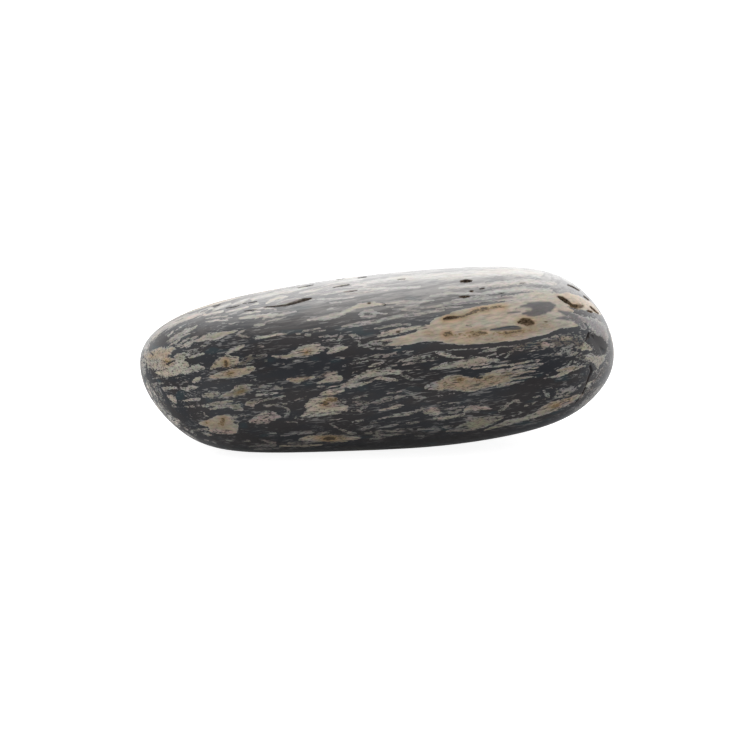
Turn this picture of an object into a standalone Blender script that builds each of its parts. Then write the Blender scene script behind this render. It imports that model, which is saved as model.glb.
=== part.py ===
"""River pebble: one water-worn stone, long and flattened, with two unlike blunt ends.

The body starts as a box of quads. Each point is pushed out to the surface of an ellipsoid that a river
has worn flat in many directions, so broad faces meet in wide soft shoulders. A small flat foot is worn
on the underside, and the stone lies on it.

Units are metres and +Z is up. The stone is longest along X. The origin is on the ground, below the
middle of the stone.
"""

from dataclasses import dataclass
from math import cos, radians, sin

import bmesh
import bpy
import numpy as np

STONE_NAME = "pebble"
COLLECTION_NAME = "river pebble"
MM = 0.001

# The ellipsoid before wear: its half length, half width and half height.
BODY_HALF_SIZES = (86 * MM, 30 * MM, 36 * MM)

# A high number makes narrow shoulders between the worn faces, and a low one makes wide ones.
SHOULDER_CRISPNESS = 9

# How much the foot takes off the lowest point of the underside.
FOOT_DEPTH = 1.0 * MM

# The box that the points start on, and the number of quads along its length, width and height.
BOX_HALF_SIZES = (58 * MM, 25 * MM, 21 * MM)
QUADS_ALONG = (46, 20, 16)

# Slate grey, the mean of the dark ground and its cream streaks, with a river polish.
STONE_COLOUR = (0.075, 0.072, 0.068, 1.0)
STONE_ROUGHNESS = 0.42


@dataclass(frozen=True)
class WornFace:
    """A broad face that the river has worn on the stone.

    Attributes:
        name: where on the stone it is.
        bearing: degrees that it looks round from +X towards +Y.
        pitch: degrees that it looks up from level, or down where negative.
        reach: metres from the middle of the ellipsoid to the face.
    """

    name: str
    bearing: float
    pitch: float
    reach: float

    def normal(self):
        """Return the unit vector that the face looks along."""
        bearing, pitch = radians(self.bearing), radians(self.pitch)
        return (cos(pitch) * cos(bearing), cos(pitch) * sin(bearing), sin(pitch))


# The nose is the narrow end at -X, and the heel is the tall blunt end at +X.
WORN_FACES = (
    WornFace("crown", bearing=178, pitch=88, reach=24.5 * MM),
    WornFace("sole", bearing=0, pitch=-90, reach=19.0 * MM),
    WornFace("front", bearing=-92, pitch=3, reach=28.0 * MM),
    WornFace("back", bearing=87, pitch=-5, reach=29.0 * MM),
    WornFace("front shoulder", bearing=-88, pitch=48, reach=26.0 * MM),
    WornFace("back shoulder", bearing=95, pitch=44, reach=26.5 * MM),
    WornFace("front under edge", bearing=-90, pitch=-48, reach=23.5 * MM),
    WornFace("back under edge", bearing=90, pitch=-46, reach=24.0 * MM),
    WornFace("nose top", bearing=176, pitch=77, reach=26.5 * MM),
    WornFace("nose shoulder", bearing=182, pitch=54, reach=54.0 * MM),
    WornFace("nose under", bearing=-176, pitch=-54, reach=42.5 * MM),
    WornFace("nose front", bearing=-140, pitch=-4, reach=52.0 * MM),
    WornFace("nose back", bearing=142, pitch=6, reach=53.0 * MM),
    WornFace("heel top", bearing=-4, pitch=49, reach=50.0 * MM),
    WornFace("heel quarter", bearing=2, pitch=-43, reach=54.0 * MM),
    WornFace("heel under", bearing=4, pitch=-74, reach=23.0 * MM),
    WornFace("heel front", bearing=-38, pitch=2, reach=52.0 * MM),
    WornFace("heel back", bearing=42, pitch=-5, reach=52.0 * MM),
)


def clear_scene():
    """Remove every object of the startup scene."""
    for leftover in list(bpy.data.objects):
        bpy.data.objects.remove(leftover, do_unlink=True)


def gridded_box():
    """Return a bmesh of a box whose faces are grids of quads."""
    box = bmesh.new()
    bmesh.ops.create_cube(box, size=2.0)
    for axis, quads in enumerate(QUADS_ALONG):
        along = [
            edge
            for edge in box.edges
            if abs(edge.verts[0].co[axis] - edge.verts[1].co[axis]) > 1.0
        ]
        bmesh.ops.subdivide_edges(box, edges=along, cuts=quads - 1, use_grid_fill=True)
    bmesh.ops.scale(box, vec=BOX_HALF_SIZES, verts=box.verts)
    return box


def worn_surface(points):
    """Return the points moved along their own directions to the worn surface.

    The distance to the surface is a power mean of the distance to the ellipsoid and to each face, so the
    nearest one decides, and two that are equally near blend in a shoulder.
    """
    directions = points / np.linalg.norm(points, axis=1, keepdims=True)
    nearness = np.linalg.norm(directions / BODY_HALF_SIZES, axis=1) ** SHOULDER_CRISPNESS
    for face in WORN_FACES:
        facing = np.maximum(0.0, directions @ np.array(face.normal()))
        nearness += (facing / face.reach) ** SHOULDER_CRISPNESS
    return directions * (nearness ** (-1.0 / SHOULDER_CRISPNESS))[:, None]


def stand_on_foot(points):
    """Return the points with the underside worn flat, and the origin on the ground below the middle."""
    lowest = points.min(axis=0)
    highest = points.max(axis=0)
    ground = lowest[2] + FOOT_DEPTH
    standing = points.copy()
    standing[:, 2] = np.maximum(points[:, 2], ground) - ground
    standing[:, :2] -= (lowest[:2] + highest[:2]) / 2
    return standing


def stone_material():
    """Return the stone's polished slate-grey material."""
    material = bpy.data.materials.new("worn stone")
    material.use_nodes = True
    principled = material.node_tree.nodes["Principled BSDF"]
    principled.inputs["Base Color"].default_value = STONE_COLOUR
    principled.inputs["Roughness"].default_value = STONE_ROUGHNESS
    principled.inputs["Metallic"].default_value = 0.0
    material.diffuse_color = STONE_COLOUR
    return material


def make_pebble(collection):
    """Model the stone and link it to the collection.

    Args:
        collection: the collection that the stone belongs to.

    Returns:
        The stone's object.
    """
    shape = gridded_box()
    points = np.array([vertex.co for vertex in shape.verts])
    for vertex, place in zip(shape.verts, stand_on_foot(worn_surface(points))):
        vertex.co = place
    bmesh.ops.recalc_face_normals(shape, faces=shape.faces)
    mesh = bpy.data.meshes.new(STONE_NAME)
    shape.to_mesh(mesh)
    shape.free()
    mesh.shade_smooth()
    mesh.materials.append(stone_material())
    pebble = bpy.data.objects.new(STONE_NAME, mesh)
    collection.objects.link(pebble)
    return pebble


def main():
    """Build the river pebble in a collection of its own."""
    clear_scene()
    collection = bpy.data.collections.new(COLLECTION_NAME)
    bpy.context.scene.collection.children.link(collection)
    make_pebble(collection)


main()
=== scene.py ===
"""River pebble: the looks of one water-worn slate stone with frayed cream streaks.

The stone's shape comes from the CAD node "pebble". It is remeshed finely, carved with the stone's pits, slot
and crease, and dressed in one procedural finish that follows fields stored on its points.

Lengths in the classes are millimetres, and the meshes are metres, as in Blender.
"""

import logging
import math
from collections.abc import Iterable
from dataclasses import dataclass, fields
from enum import Enum

import bmesh
import bpy
import numpy as np
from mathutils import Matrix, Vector


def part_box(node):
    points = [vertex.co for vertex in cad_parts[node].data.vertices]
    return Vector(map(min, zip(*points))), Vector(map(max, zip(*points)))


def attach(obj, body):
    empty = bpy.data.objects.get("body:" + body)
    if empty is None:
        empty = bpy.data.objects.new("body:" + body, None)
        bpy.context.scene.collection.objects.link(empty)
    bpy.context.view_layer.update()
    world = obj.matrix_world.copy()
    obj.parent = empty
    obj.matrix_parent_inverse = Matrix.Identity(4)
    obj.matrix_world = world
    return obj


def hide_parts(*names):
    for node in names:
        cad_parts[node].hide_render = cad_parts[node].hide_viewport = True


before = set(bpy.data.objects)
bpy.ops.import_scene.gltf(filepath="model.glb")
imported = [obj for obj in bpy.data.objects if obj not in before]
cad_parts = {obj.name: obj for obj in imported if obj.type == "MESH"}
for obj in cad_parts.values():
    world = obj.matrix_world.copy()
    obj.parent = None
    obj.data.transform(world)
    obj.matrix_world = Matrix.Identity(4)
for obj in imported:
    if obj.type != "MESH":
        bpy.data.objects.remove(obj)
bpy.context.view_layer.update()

MM = 0.001
# The value of a field far from any streak, and a squared length that stands for none.
FAR = 9.0
TINY = 1e-9
# The sockets of a Map Range node, in the order in which a ramp fills them.
RAMP_SOCKETS = ("Value", "From Min", "From Max", "To Min", "To Max")
# Where a Mix node has its two colours, and the mixed one.
MIX_FIRST, MIX_SECOND = 6, 7
MIX_RESULT = 2

LOG = logging.getLogger("river pebble")

Stop = tuple[float, float, float]
Chain = tuple[Stop, ...]
Span = tuple[float, float]
Colour = tuple[float, float, float]
Socket = bpy.types.NodeSocket
Source = Socket | float | Colour
Sources = dict[str | int, Source]


class Tint(Enum):
    """The finishes that a streak can have."""

    BAND = "band"
    CREAM = "cream"
    TAN = "tan"
    PINK = "pink"
    OLIVE = "olive"
    GREY = "grey"
    LAVENDER = "lavender"
    PALE = "pale"
    MOTTLE = "mottle"
    SLATE = "slate"
    DARK = "dark"


TINT_COLOURS: dict[Tint, Colour] = {
    Tint.BAND: (0.262, 0.236, 0.199),
    Tint.CREAM: (0.275, 0.259, 0.226),
    Tint.TAN: (0.262, 0.229, 0.183),
    Tint.PINK: (0.280, 0.232, 0.218),
    Tint.OLIVE: (0.225, 0.215, 0.170),
    Tint.GREY: (0.228, 0.221, 0.213),
    Tint.LAVENDER: (0.235, 0.224, 0.232),
    Tint.PALE: (0.335, 0.328, 0.318),
    Tint.MOTTLE: (0.135, 0.112, 0.092),
    Tint.SLATE: (0.066, 0.062, 0.066),
    Tint.DARK: (0.0, 0.0, 0.0),
}

# How fully each tint covers the ground. The specks are thicker where it covers less.
TINT_BODY: dict[Tint, float] = {
    Tint.BAND: 1.0,
    Tint.CREAM: 0.91,
    Tint.TAN: 0.92,
    Tint.PINK: 0.86,
    Tint.OLIVE: 0.92,
    Tint.GREY: 0.66,
    Tint.LAVENDER: 0.80,
    Tint.PALE: 0.66,
    Tint.MOTTLE: 0.50,
    Tint.SLATE: 0.95,
}


@dataclass(frozen=True)
class Streak:
    """One streak of the stone's face, as a chain of round stops.

    Attributes:
        tint: its finish. A dark streak takes away from the others.
        stops: column and row in the portrait's frame, and width in millimetres as seen there.
        fray: how ragged its edge is, where 1 is usual.
        shade: how light it is beside other streaks of its tint, where 1 is usual. On some rims and
        one facet it is raised as a painted highlight or sheen.
    """

    tint: Tint
    stops: Chain
    fray: float = 1.0
    shade: float = 1.0


@dataclass(frozen=True)
class Stain:
    """A brown or ochre spot, as a chain of round stops.

    Attributes:
        strength: how strongly it colours the stone, from 0 to 1. A weak one only warms the streaks.
        stops: column and row in the portrait's frame, and width in millimetres as seen there.
    """

    strength: float
    stops: Chain


@dataclass(frozen=True)
class Hollow:
    """A pit, slot or crease that is carved into the stone.

    Attributes:
        stops: column and row in the portrait's frame, and width in millimetres as seen there.
        depth: depth in millimetres.
        wall: how wide its sloping wall is, in millimetres as seen in the portrait.
        stain: how brown it is inside, from 0 to 1. The brown is partly dirt and partly painted shade.
    """

    stops: Chain
    depth: float
    wall: float
    stain: float


def streaks(tint: Tint, chains: tuple[Chain, ...], fray: float = 1.0,
            shade: float = 1.0) -> tuple[Streak, ...]:
    """Return one streak of the same finish for each chain of stops."""
    return tuple(Streak(tint, chain, fray, shade) for chain in chains)


def stains(strength: float, chains: tuple[Chain, ...]) -> tuple[Stain, ...]:
    """Return one stain of the same strength for each chain of stops."""
    return tuple(Stain(strength, chain) for chain in chains)


# The streaks of the stone's face. Later ones lie over earlier ones.
FACE: tuple[Streak, ...] = ()

# The wide tan band, with its grey island.
FACE += streaks(Tint.BAND, (
    ((370, 343, 0.9), (378, 342.7, 1.4), (386, 342, 1.9), (396, 341.5, 2.4), (406, 340, 2.6),
     (418, 337, 2.8), (426, 333.3, 4.2), (435, 331.3, 5.2), (441, 329.3, 6.4), (450, 329, 7.6),
     (460, 327.5, 8.9), (470, 326.5, 9.4), (480, 325, 9.7), (490, 323.8, 9.8), (500, 322.5, 10.1),
     (510, 321.2, 10.4), (520, 319.2, 10.4), (530, 317.5, 10.3), (540, 316, 10.0), (549, 313.5, 9.3)),
    ((546, 320, 5.8), (556, 321.5, 4.2), (566, 323, 2.6), (576, 324.5, 1.2)),
    ((540, 298, 1.6), (552, 300, 2.2), (560, 304.5, 1.8)),
), fray=0.4)
FACE += streaks(Tint.BAND, (
    ((556, 299, 2.6), (566, 299.5, 3.4), (577, 302, 3.4), (588, 306, 2.6), (596, 310.5, 1.6),
     (601, 314, 0.7)),
    ((566, 293, 0.6), (578, 297, 0.8), (588, 302, 0.6)),
), fray=0.5)
FACE += streaks(Tint.BAND, (
    ((488, 338.5, 0.3), (505, 336, 0.8), (522, 332, 1.3), (538, 327.5, 1.8), (552, 325, 1.8),
     (566, 325.3, 1.0)),
    ((537, 319.5, 0.8), (548, 317.5, 1.4), (556, 318.5, 0.8)),
), fray=0.5, shade=0.84)
FACE += streaks(Tint.SLATE, (
    ((528, 303.5, 0.2), (538, 303, 0.5), (550, 303, 0.3)),
    ((521, 306.3, 0.2), (530, 305, 0.7), (540, 304.5, 1.2), (549, 304.5, 1.1), (555, 305.3, 0.3)),
    ((516, 308.8, 0.2), (525, 308, 0.6), (535, 307, 1.2), (545, 306.8, 1.5), (552, 307.3, 0.9)),
    ((527, 310.5, 0.3), (535, 309.7, 1.0), (544, 309.3, 1.5), (550, 309.8, 0.8)),
    ((508, 313, 0.15), (514, 312.3, 0.3), (520, 311.7, 0.15)),
    ((523, 313.7, 0.3), (530, 312.7, 1.0), (538, 312.3, 1.3), (545, 311.8, 0.9)),
    ((528, 315.3, 0.3), (534, 315, 0.6), (540, 314.3, 0.4)),
), shade=0.85)
FACE += streaks(Tint.SLATE, (
    ((491, 329.8, 0.3), (498, 329.2, 0.6), (506, 328.2, 0.9), (514, 327.8, 1.0), (520, 328.3, 0.6)),
), shade=0.7)
FACE += streaks(Tint.SLATE, (
    ((557, 318.3, 0.2), (565, 318, 0.8), (573, 319, 1.0), (580, 322.5, 1.4), (584, 328, 1.2)),
    ((559, 311, 0.3), (567, 313.7, 1.0), (573, 316, 1.6), (581, 320, 2.0)),
), fray=0.8, shade=1.25)
FACE += streaks(Tint.BAND, (
    ((518, 309.2, 0.15), (524, 309, 0.2), (530, 309.2, 0.1)),
), fray=0.5)
FACE += streaks(Tint.DARK, (
    ((491, 329.5, 0.2), (500, 328.3, 0.3), (509, 326.6, 0.4), (519, 326.3, 0.2)),
    ((476, 329, 0.2), (487, 328.8, 0.3)),
    ((463, 324.5, 0.15), (468, 325.5, 0.2), (472, 326.5, 0.15)),
    ((408, 320.5, 0.2), (420, 322.5, 0.5), (429, 324, 0.6)),
    ((434, 345.7, 1.3), (448, 346.8, 1.0), (462, 346.9, 0.7), (478, 346.2, 0.7), (492, 345, 0.7),
     (506, 343.8, 0.7), (520, 342.2, 0.8), (532, 340, 0.8), (545, 336.5, 0.8), (556, 333, 0.8),
     (568, 330.5, 0.8), (578, 329, 0.8)),
    ((404, 346, 0.6), (412, 347, 0.8), (424, 347.3, 1.5), (434, 347.3, 1.6), (444, 349, 1.0)),
), fray=0.5)

# The nose.
# The first three pale streaks run along the nose's outline: a painted highlight on its rim.
FACE += streaks(Tint.PALE, (
    ((148, 344, 1.0), (145.5, 350, 1.4), (144, 358, 1.6), (143.5, 366, 1.3), (144.5, 374, 0.9)),
    ((147.5, 351, 0.8), (147.5, 359, 1.0), (148, 368, 0.9)),
    ((150, 341, 0.9), (156, 334, 1.7), (165, 327.5, 1.9), (175, 322.5, 1.7), (187, 317.5, 1.5),
     (197, 314, 1.2)),
))
FACE += streaks(Tint.MOTTLE, (
    ((240, 364, 0.8), (246, 361.5, 2.2), (251, 358, 2.0), (258, 357, 1.0)),
), shade=1.3)
FACE += streaks(Tint.TAN, (
    ((154, 355.5, 3.0), (160, 354.5, 4.2), (167, 351.5, 2.4), (173, 348.5, 1.0)),
))
FACE += streaks(Tint.TAN, (
    ((210, 377, 0.8), (215, 376.7, 1.3), (222, 375, 2.0), (231, 373.7, 2.4), (240, 372.3, 2.2),
     (248, 370.3, 2.0), (253, 368.3, 1.3)),
), fray=0.6)
FACE += streaks(Tint.CREAM, (
    ((153, 364, 2.4), (160, 365.5, 3.0), (166, 367.5, 1.9)),
    ((182, 373, 0.8), (190, 370.3, 1.8), (197, 367.7, 2.1), (203, 368, 0.9)),
    ((190, 357.5, 0.7), (197, 355.3, 0.9), (203, 354, 0.7)),
    ((181.5, 346.5, 0.8), (187, 345, 1.3), (193, 341.5, 0.9)),
    ((226, 354, 0.6), (231, 351, 1.3), (238, 347.7, 1.3), (245, 345.5, 0.5)),
    ((211, 368.5, 0.7), (216, 365, 1.9), (222, 362.2, 2.8), (229, 361.5, 3.1), (235, 360.5, 2.2),
     (237.5, 357, 0.6)),
    ((193, 381.5, 0.8), (197, 379.7, 1.4), (199.5, 378, 0.9)),
    ((161, 389, 0.8), (168, 388.2, 0.9), (176, 388, 0.6)),
    ((181, 388, 0.4), (187, 389.5, 1.1), (192, 387.5, 1.3), (197, 387, 0.5)),
))
FACE += streaks(Tint.CREAM, (
    ((180, 359.5, 2.5), (181.5, 366, 3.8), (176, 371, 2.5), (167, 372.5, 2.5), (158, 373, 1.4)),
    ((163, 358.5, 1.0), (168, 360.5, 1.7), (174, 363, 2.2)),
), fray=0.7, shade=1.12)
FACE += streaks(Tint.CREAM, (
    ((191, 342, 0.3), (199, 340.3, 0.8), (207, 337.7, 1.8), (216, 336.2, 1.9), (225, 333.7, 1.3),
     (232, 331.7, 0.7), (238, 330.5, 0.3)),
), shade=0.8)
FACE += streaks(Tint.MOTTLE, (
    ((168, 342, 0.8), (177, 336.5, 1.2), (187, 330.5, 1.0), (196, 327, 0.5)),
), fray=1.4, shade=0.7)
FACE += streaks(Tint.CREAM, (
    ((168, 341, 0.2), (175, 336.3, 0.5), (181, 333.5, 0.7), (187, 329, 0.3)),
    ((170, 345, 0.3), (176, 342, 0.8), (181, 337.5, 0.4), (190, 333, 0.3)),
    ((177, 346.3, 0.3), (184, 340.7, 0.5), (189, 338.3, 0.3)),
    ((167, 336.7, 0.3), (173, 331.5, 0.4)),
    ((186, 331, 0.2), (192, 328.3, 0.5), (197, 326, 0.3)),
    ((176, 330.5, 0.2), (181, 327, 0.3)),
), shade=0.66)
FACE += streaks(Tint.GREY, (
    ((196, 346.5, 0.3), (205, 345.5, 0.5), (212, 344, 0.3)),
    ((190, 339.3, 0.3), (194, 337.7, 0.7), (199, 336, 0.4)),
    ((187, 351.3, 0.4), (195, 349.7, 0.7)),
    ((237, 334.5, 0.5), (243, 336.5, 0.8), (250, 337, 0.4)),
    ((239, 332, 0.5), (244, 330.5, 0.5)),
    ((179, 382, 0.4), (184, 382, 0.4), (188, 381.5, 0.4)),
    ((251, 380.5, 0.5), (255, 379.5, 0.6)),
    ((175, 378, 0.4), (178, 378, 0.4)),
    ((150, 386, 0.7), (154, 385.2, 1.2), (158, 383.5, 0.7), (164, 383.2, 0.4)),
    ((146.5, 378, 0.5), (151, 386, 0.9), (156, 394, 0.7)),
    ((155, 388, 0.4), (160, 395, 0.8), (164, 401, 0.5)),
    ((157, 398, 0.4), (162, 405, 0.7), (167, 411, 0.5)),
    ((152, 379, 0.3), (158, 377.5, 0.5), (163, 378.5, 0.3)),
    ((161, 391.3, 0.4), (167, 390.3, 0.4)),
    ((235, 387, 0.7), (244, 386, 1.0), (253, 385, 0.6)),
    ((222, 323, 0.3), (231, 324, 0.4), (238, 322, 0.3)),
))
FACE += streaks(Tint.OLIVE, (
    ((176, 356.5, 1.1), (183, 355, 1.3), (190, 354.5, 0.7)),
    ((214, 336, 0.8), (222, 334, 1.0), (229, 333, 0.6)),
    ((212, 368, 0.5), (217, 366, 0.8)),
))
FACE += streaks(Tint.DARK, (
    ((150, 349, 0.7), (156, 346, 1.3), (162, 343, 1.3), (166, 338, 1.1)),
    ((166, 364.7, 0.3), (170, 362.5, 0.6), (175, 360.3, 0.3)),
    ((172, 355, 0.4), (176, 351.5, 0.8), (182, 350, 0.4)),
    ((146.8, 363, 0.2), (147, 371, 0.4), (147.5, 378, 0.6), (151, 381, 0.5)),
    ((151, 369, 0.2), (152.5, 373, 0.4), (158, 374.8, 0.3)),
    ((149, 382, 0.2), (154, 390, 0.3), (159, 398, 0.3), (165, 407, 0.3)),
    ((158, 336, 0.2), (163, 332, 0.3), (168, 328.5, 0.2)),
    ((171, 329, 0.2), (178, 325, 0.3), (185, 321.5, 0.2)),
    ((188, 321, 0.2), (196, 317.5, 0.3), (203, 314.5, 0.2)),
    ((176, 321.5, 0.15), (183, 318.5, 0.2)),
    ((200, 312.3, 0.15), (208, 309.3, 0.2)),
    ((160, 387, 0.3), (165, 395, 0.7), (170, 408, 1.2), (176, 416, 1.2)),
    ((185, 360, 0.5), (192, 361, 1.2), (201, 359.5, 1.3)),
    ((154, 371.5, 0.2), (160, 370.5, 0.3), (168, 368.5, 0.3)),
    ((150, 352, 0.3), (153, 355, 0.4)),
    ((147, 366, 0.3), (152, 365.5, 0.2)),
    ((168, 377.5, 0.3), (177, 376.5, 0.4)),
    ((203, 386, 0.3), (212, 385.7, 0.9), (222, 385, 0.9), (230, 384, 0.3)),
))

# The lower nose.
FACE += streaks(Tint.MOTTLE, (
    ((150, 385, 0.8), (157, 396, 1.6), (165, 407, 1.4), (171, 414, 0.8)),
    ((204, 395, 1.0), (211, 395, 1.9), (218, 394, 1.2)),
    ((232, 406, 1.2), (237, 407, 2.2), (242, 409, 1.0)),
))
FACE += streaks(Tint.CREAM, (
    ((167, 396.3, 0.6), (171, 397.3, 1.2), (174, 400, 1.6), (175.5, 402.5, 0.7)),
    ((202, 430, 0.6), (207, 429.3, 0.6)),
    ((203, 432.7, 0.4), (208, 434.7, 0.8), (212, 435, 0.3)),
))
FACE += streaks(Tint.CREAM, (
    ((204, 396, 0.9), (208, 394.5, 1.4), (213, 394.3, 1.5), (217, 393, 0.9)),
    ((203, 406, 0.7), (212, 404.5, 1.0), (222, 403, 1.2), (232, 401, 0.7)),
    ((210, 409.5, 0.5), (217, 407.5, 0.8), (226, 406.5, 0.8), (232, 407, 0.4)),
), shade=0.68)
FACE += streaks(Tint.BAND, (
    ((201, 423.3, 0.9), (207, 423.5, 1.8), (213, 424, 3.2), (219, 424.2, 4.6), (226, 424.3, 4.9),
     (231, 426.3, 3.9), (234, 428.3, 2.2), (235.5, 429.5, 0.6)),
    ((211, 430.5, 1.0), (218, 431.3, 1.4), (226, 431.7, 1.5), (232, 432, 1.2), (236, 432.5, 0.5)),
), fray=0.4, shade=0.93)
FACE += streaks(Tint.PINK, (
    ((182, 400.7, 0.3), (190, 399.7, 0.7), (199, 399, 0.9)),
    ((249, 403, 1.4), (253, 406, 0.9)),
    ((212, 431.5, 0.6), (222, 432.2, 0.8), (230, 432, 0.6)),
))
FACE += streaks(Tint.OLIVE, (
    ((219, 398.3, 0.5), (226, 395.3, 1.4), (234, 393.5, 1.8), (242, 391.7, 1.7), (249, 390, 1.3)),
    ((232, 390, 0.4), (240, 387.7, 0.8), (248, 385.7, 0.7)),
    ((234, 408, 0.6), (237, 406.5, 1.3), (239, 409, 0.9), (243, 409.5, 0.4)),
), shade=0.64)
FACE += streaks(Tint.OLIVE, (
    ((246, 405, 0.6), (251, 403.3, 1.2), (258, 401.3, 1.1), (267, 399.3, 0.8), (277, 398, 0.7),
     (285, 396.3, 0.4)),
    ((263, 405.7, 0.2), (275, 404.3, 0.4), (288, 403, 0.3)),
), shade=0.74)
FACE += streaks(Tint.GREY, (
    ((184, 407, 0.4), (192, 406.3, 0.6), (200, 406, 0.5)),
    ((172, 406, 0.5), (175, 407, 0.6)),
    ((186, 396, 0.4), (189, 396, 0.3)),
    ((204, 413, 0.4), (206, 416, 0.6), (208, 417, 0.3)),
    ((197, 414, 0.2), (201, 413.5, 0.2)),
    ((188, 413, 0.2), (191, 416, 0.3)),
    ((232, 418, 0.5), (237, 417, 0.7)),
    ((236.5, 422.5, 0.6), (239, 422.5, 0.4), (243, 422.5, 0.2)),
    ((241, 416, 0.4), (248, 415.5, 0.4)),
    ((192, 430.7, 0.6), (199, 429.7, 0.7)),
    ((227, 440.5, 0.6), (231, 440.5, 0.6)),
    ((245, 441, 0.5), (250, 441, 0.5)),
))
# Pale dashes along the lower left rim: the stone's own dashes, made twice as light as a painted highlight
# from the floor's light.
FACE += streaks(Tint.PALE, (
    ((168, 415.5, 0.7), (172, 419, 1.5), (176.5, 422.5, 1.5), (179.5, 426.5, 0.7)),
    ((182, 431, 0.8), (187, 435, 1.1), (193, 438.7, 1.1), (199, 442, 0.6)),
    ((146.5, 383, 0.4), (149, 390, 0.6), (152, 396.5, 0.4)),
    ((153.5, 400, 0.4), (157, 406, 0.7), (161, 411, 0.4)),
    ((163, 413.5, 0.4), (167, 418, 0.6), (171, 422, 0.4)),
    ((174, 426, 0.4), (179, 430, 0.6)),
), fray=0.6, shade=2.0)
# Grey dashes along the same rim, made lighter in the same way: partly their own colour, partly painted
# highlight.
FACE += streaks(Tint.GREY, (
    ((150.5, 386, 0.4), (154, 393, 0.5), (157.5, 399, 0.4)),
    ((158, 403, 0.4), (162, 409, 0.5), (166, 413.5, 0.4)),
    ((172, 413, 0.4), (176, 418, 0.5), (181, 422.5, 0.4)),
    ((184, 427.5, 0.4), (190, 431.5, 0.5), (196, 435, 0.4)),
    ((194, 440, 0.4), (203, 444, 0.5), (212, 446.5, 0.4)),
    ((205, 439.7, 0.4), (216, 443, 0.4)),
    ((215, 448, 0.4), (230, 450, 0.4)),
), fray=0.6, shade=1.8)
FACE += streaks(Tint.DARK, (
    ((210.5, 401, 0.4), (215.5, 400, 0.5)),
    ((203, 426.7, 0.3), (208, 427.3, 0.3)),
))

# Left of the middle.
FACE += streaks(Tint.MOTTLE, (
    ((256, 386, 0.8), (268, 387, 1.0), (282, 388, 0.8)),
    ((354, 402, 0.8), (361, 405, 2.4), (368, 402, 1.6)),
    ((317, 378, 0.8), (326, 375, 1.6), (336, 373, 1.0)),
    ((258, 357, 1.0), (266, 355, 0.9)),
    ((253, 362.3, 0.7), (260, 361.5, 1.3), (267, 360.5, 0.7)),
))
FACE += streaks(Tint.CREAM, (
    ((256, 338, 0.8), (265, 337, 0.8), (275, 335, 0.8), (283, 334, 0.6), (288, 333, 0.3)),
    ((272, 356, 0.3), (281, 357, 0.8), (290, 355.7, 1.4), (299, 352.7, 2.5), (308, 350.7, 2.9),
     (316, 349.5, 2.3), (323, 348.7, 1.1), (331, 348.5, 0.4)),
    ((303, 347, 0.8), (312, 345.5, 0.9), (320, 344.7, 0.4)),
    ((328, 353, 0.6), (334, 350, 1.6), (341, 348, 1.5), (347, 347.5, 0.6)),
    ((351, 335, 0.8), (356, 338, 0.9), (360, 342, 0.8), (359, 346, 0.5)),
    ((317, 383, 0.5), (323, 381.5, 0.9), (328, 379, 1.9), (334, 377.5, 2.5), (340, 378.5, 1.5)),
    ((343, 386.5, 1.0), (349, 383, 1.5), (356, 379, 1.5), (364, 376, 1.7), (372, 373.5, 2.1),
     (380, 371.7, 2.2), (388, 371, 2.0)),
    ((348, 386.3, 1.0), (356, 385.3, 1.0), (364, 383.5, 0.8), (372, 381, 0.6)),
    ((370, 367, 0.4), (378, 364, 0.7), (384, 361.5, 0.6)),
))
FACE += streaks(Tint.OLIVE, (
    ((283, 357, 0.6), (291, 356.5, 0.8)),
    ((372, 374, 0.8), (382, 372.5, 0.9)),
))
FACE += streaks(Tint.TAN, (
    ((288, 379, 0.8), (296, 380.5, 1.3), (305, 379, 1.2), (314, 377, 0.7)),
))
FACE += streaks(Tint.PINK, (
    ((316, 386.5, 0.2), (326, 387, 0.4), (336, 386, 0.4), (343, 384.5, 0.3)),
))
FACE += streaks(Tint.GREY, (
    ((303, 331, 0.4), (311, 330, 0.6), (320, 328, 0.4)),
    ((306, 335, 0.8), (310, 335, 0.7)),
    ((296, 334, 0.5), (300, 334, 0.5)),
    ((320, 337, 0.5), (327, 336, 0.8), (335, 337, 0.9), (342, 337, 0.8)),
    ((334, 341, 0.4), (342, 341, 0.4)),
    ((339, 345, 0.4), (340, 339, 0.5), (341, 333, 0.3)),
    ((362, 347.5, 0.5), (370, 346.5, 0.8)),
    ((372, 349.5, 0.4), (383, 348, 0.5)),
    ((323, 349, 0.5), (329, 347.5, 0.5)),
    ((256, 346, 0.5), (263, 346, 0.5)),
    ((276, 363.5, 0.3), (284, 364, 0.4)),
    ((289, 362.3, 0.3), (297, 360.7, 0.5), (306, 359, 0.3)),
    ((340, 358, 0.4), (344, 358, 0.5)),
    ((353, 360.5, 0.4), (362, 358.7, 0.5), (370, 357, 0.4)),
    ((375, 355.5, 0.4), (381, 355.5, 0.5)),
    ((338, 367, 0.3), (348, 365, 0.4), (357, 362.7, 0.6), (367, 361, 0.5), (376, 359.5, 0.4)),
    ((352, 373, 0.3), (358, 371, 0.3)),
    ((258, 388, 0.2), (268, 386.5, 0.2), (281, 386.5, 0.2)),
    ((256, 391.5, 0.3), (270, 390, 0.3), (283, 389, 0.2)),
    ((262, 383, 0.2), (277, 382.5, 0.2)),
))
FACE += streaks(Tint.DARK, (
    ((345, 381.5, 0.3), (352, 380.8, 0.3)),
    ((366, 379.5, 0.3), (376, 377, 0.4)),
))

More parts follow.
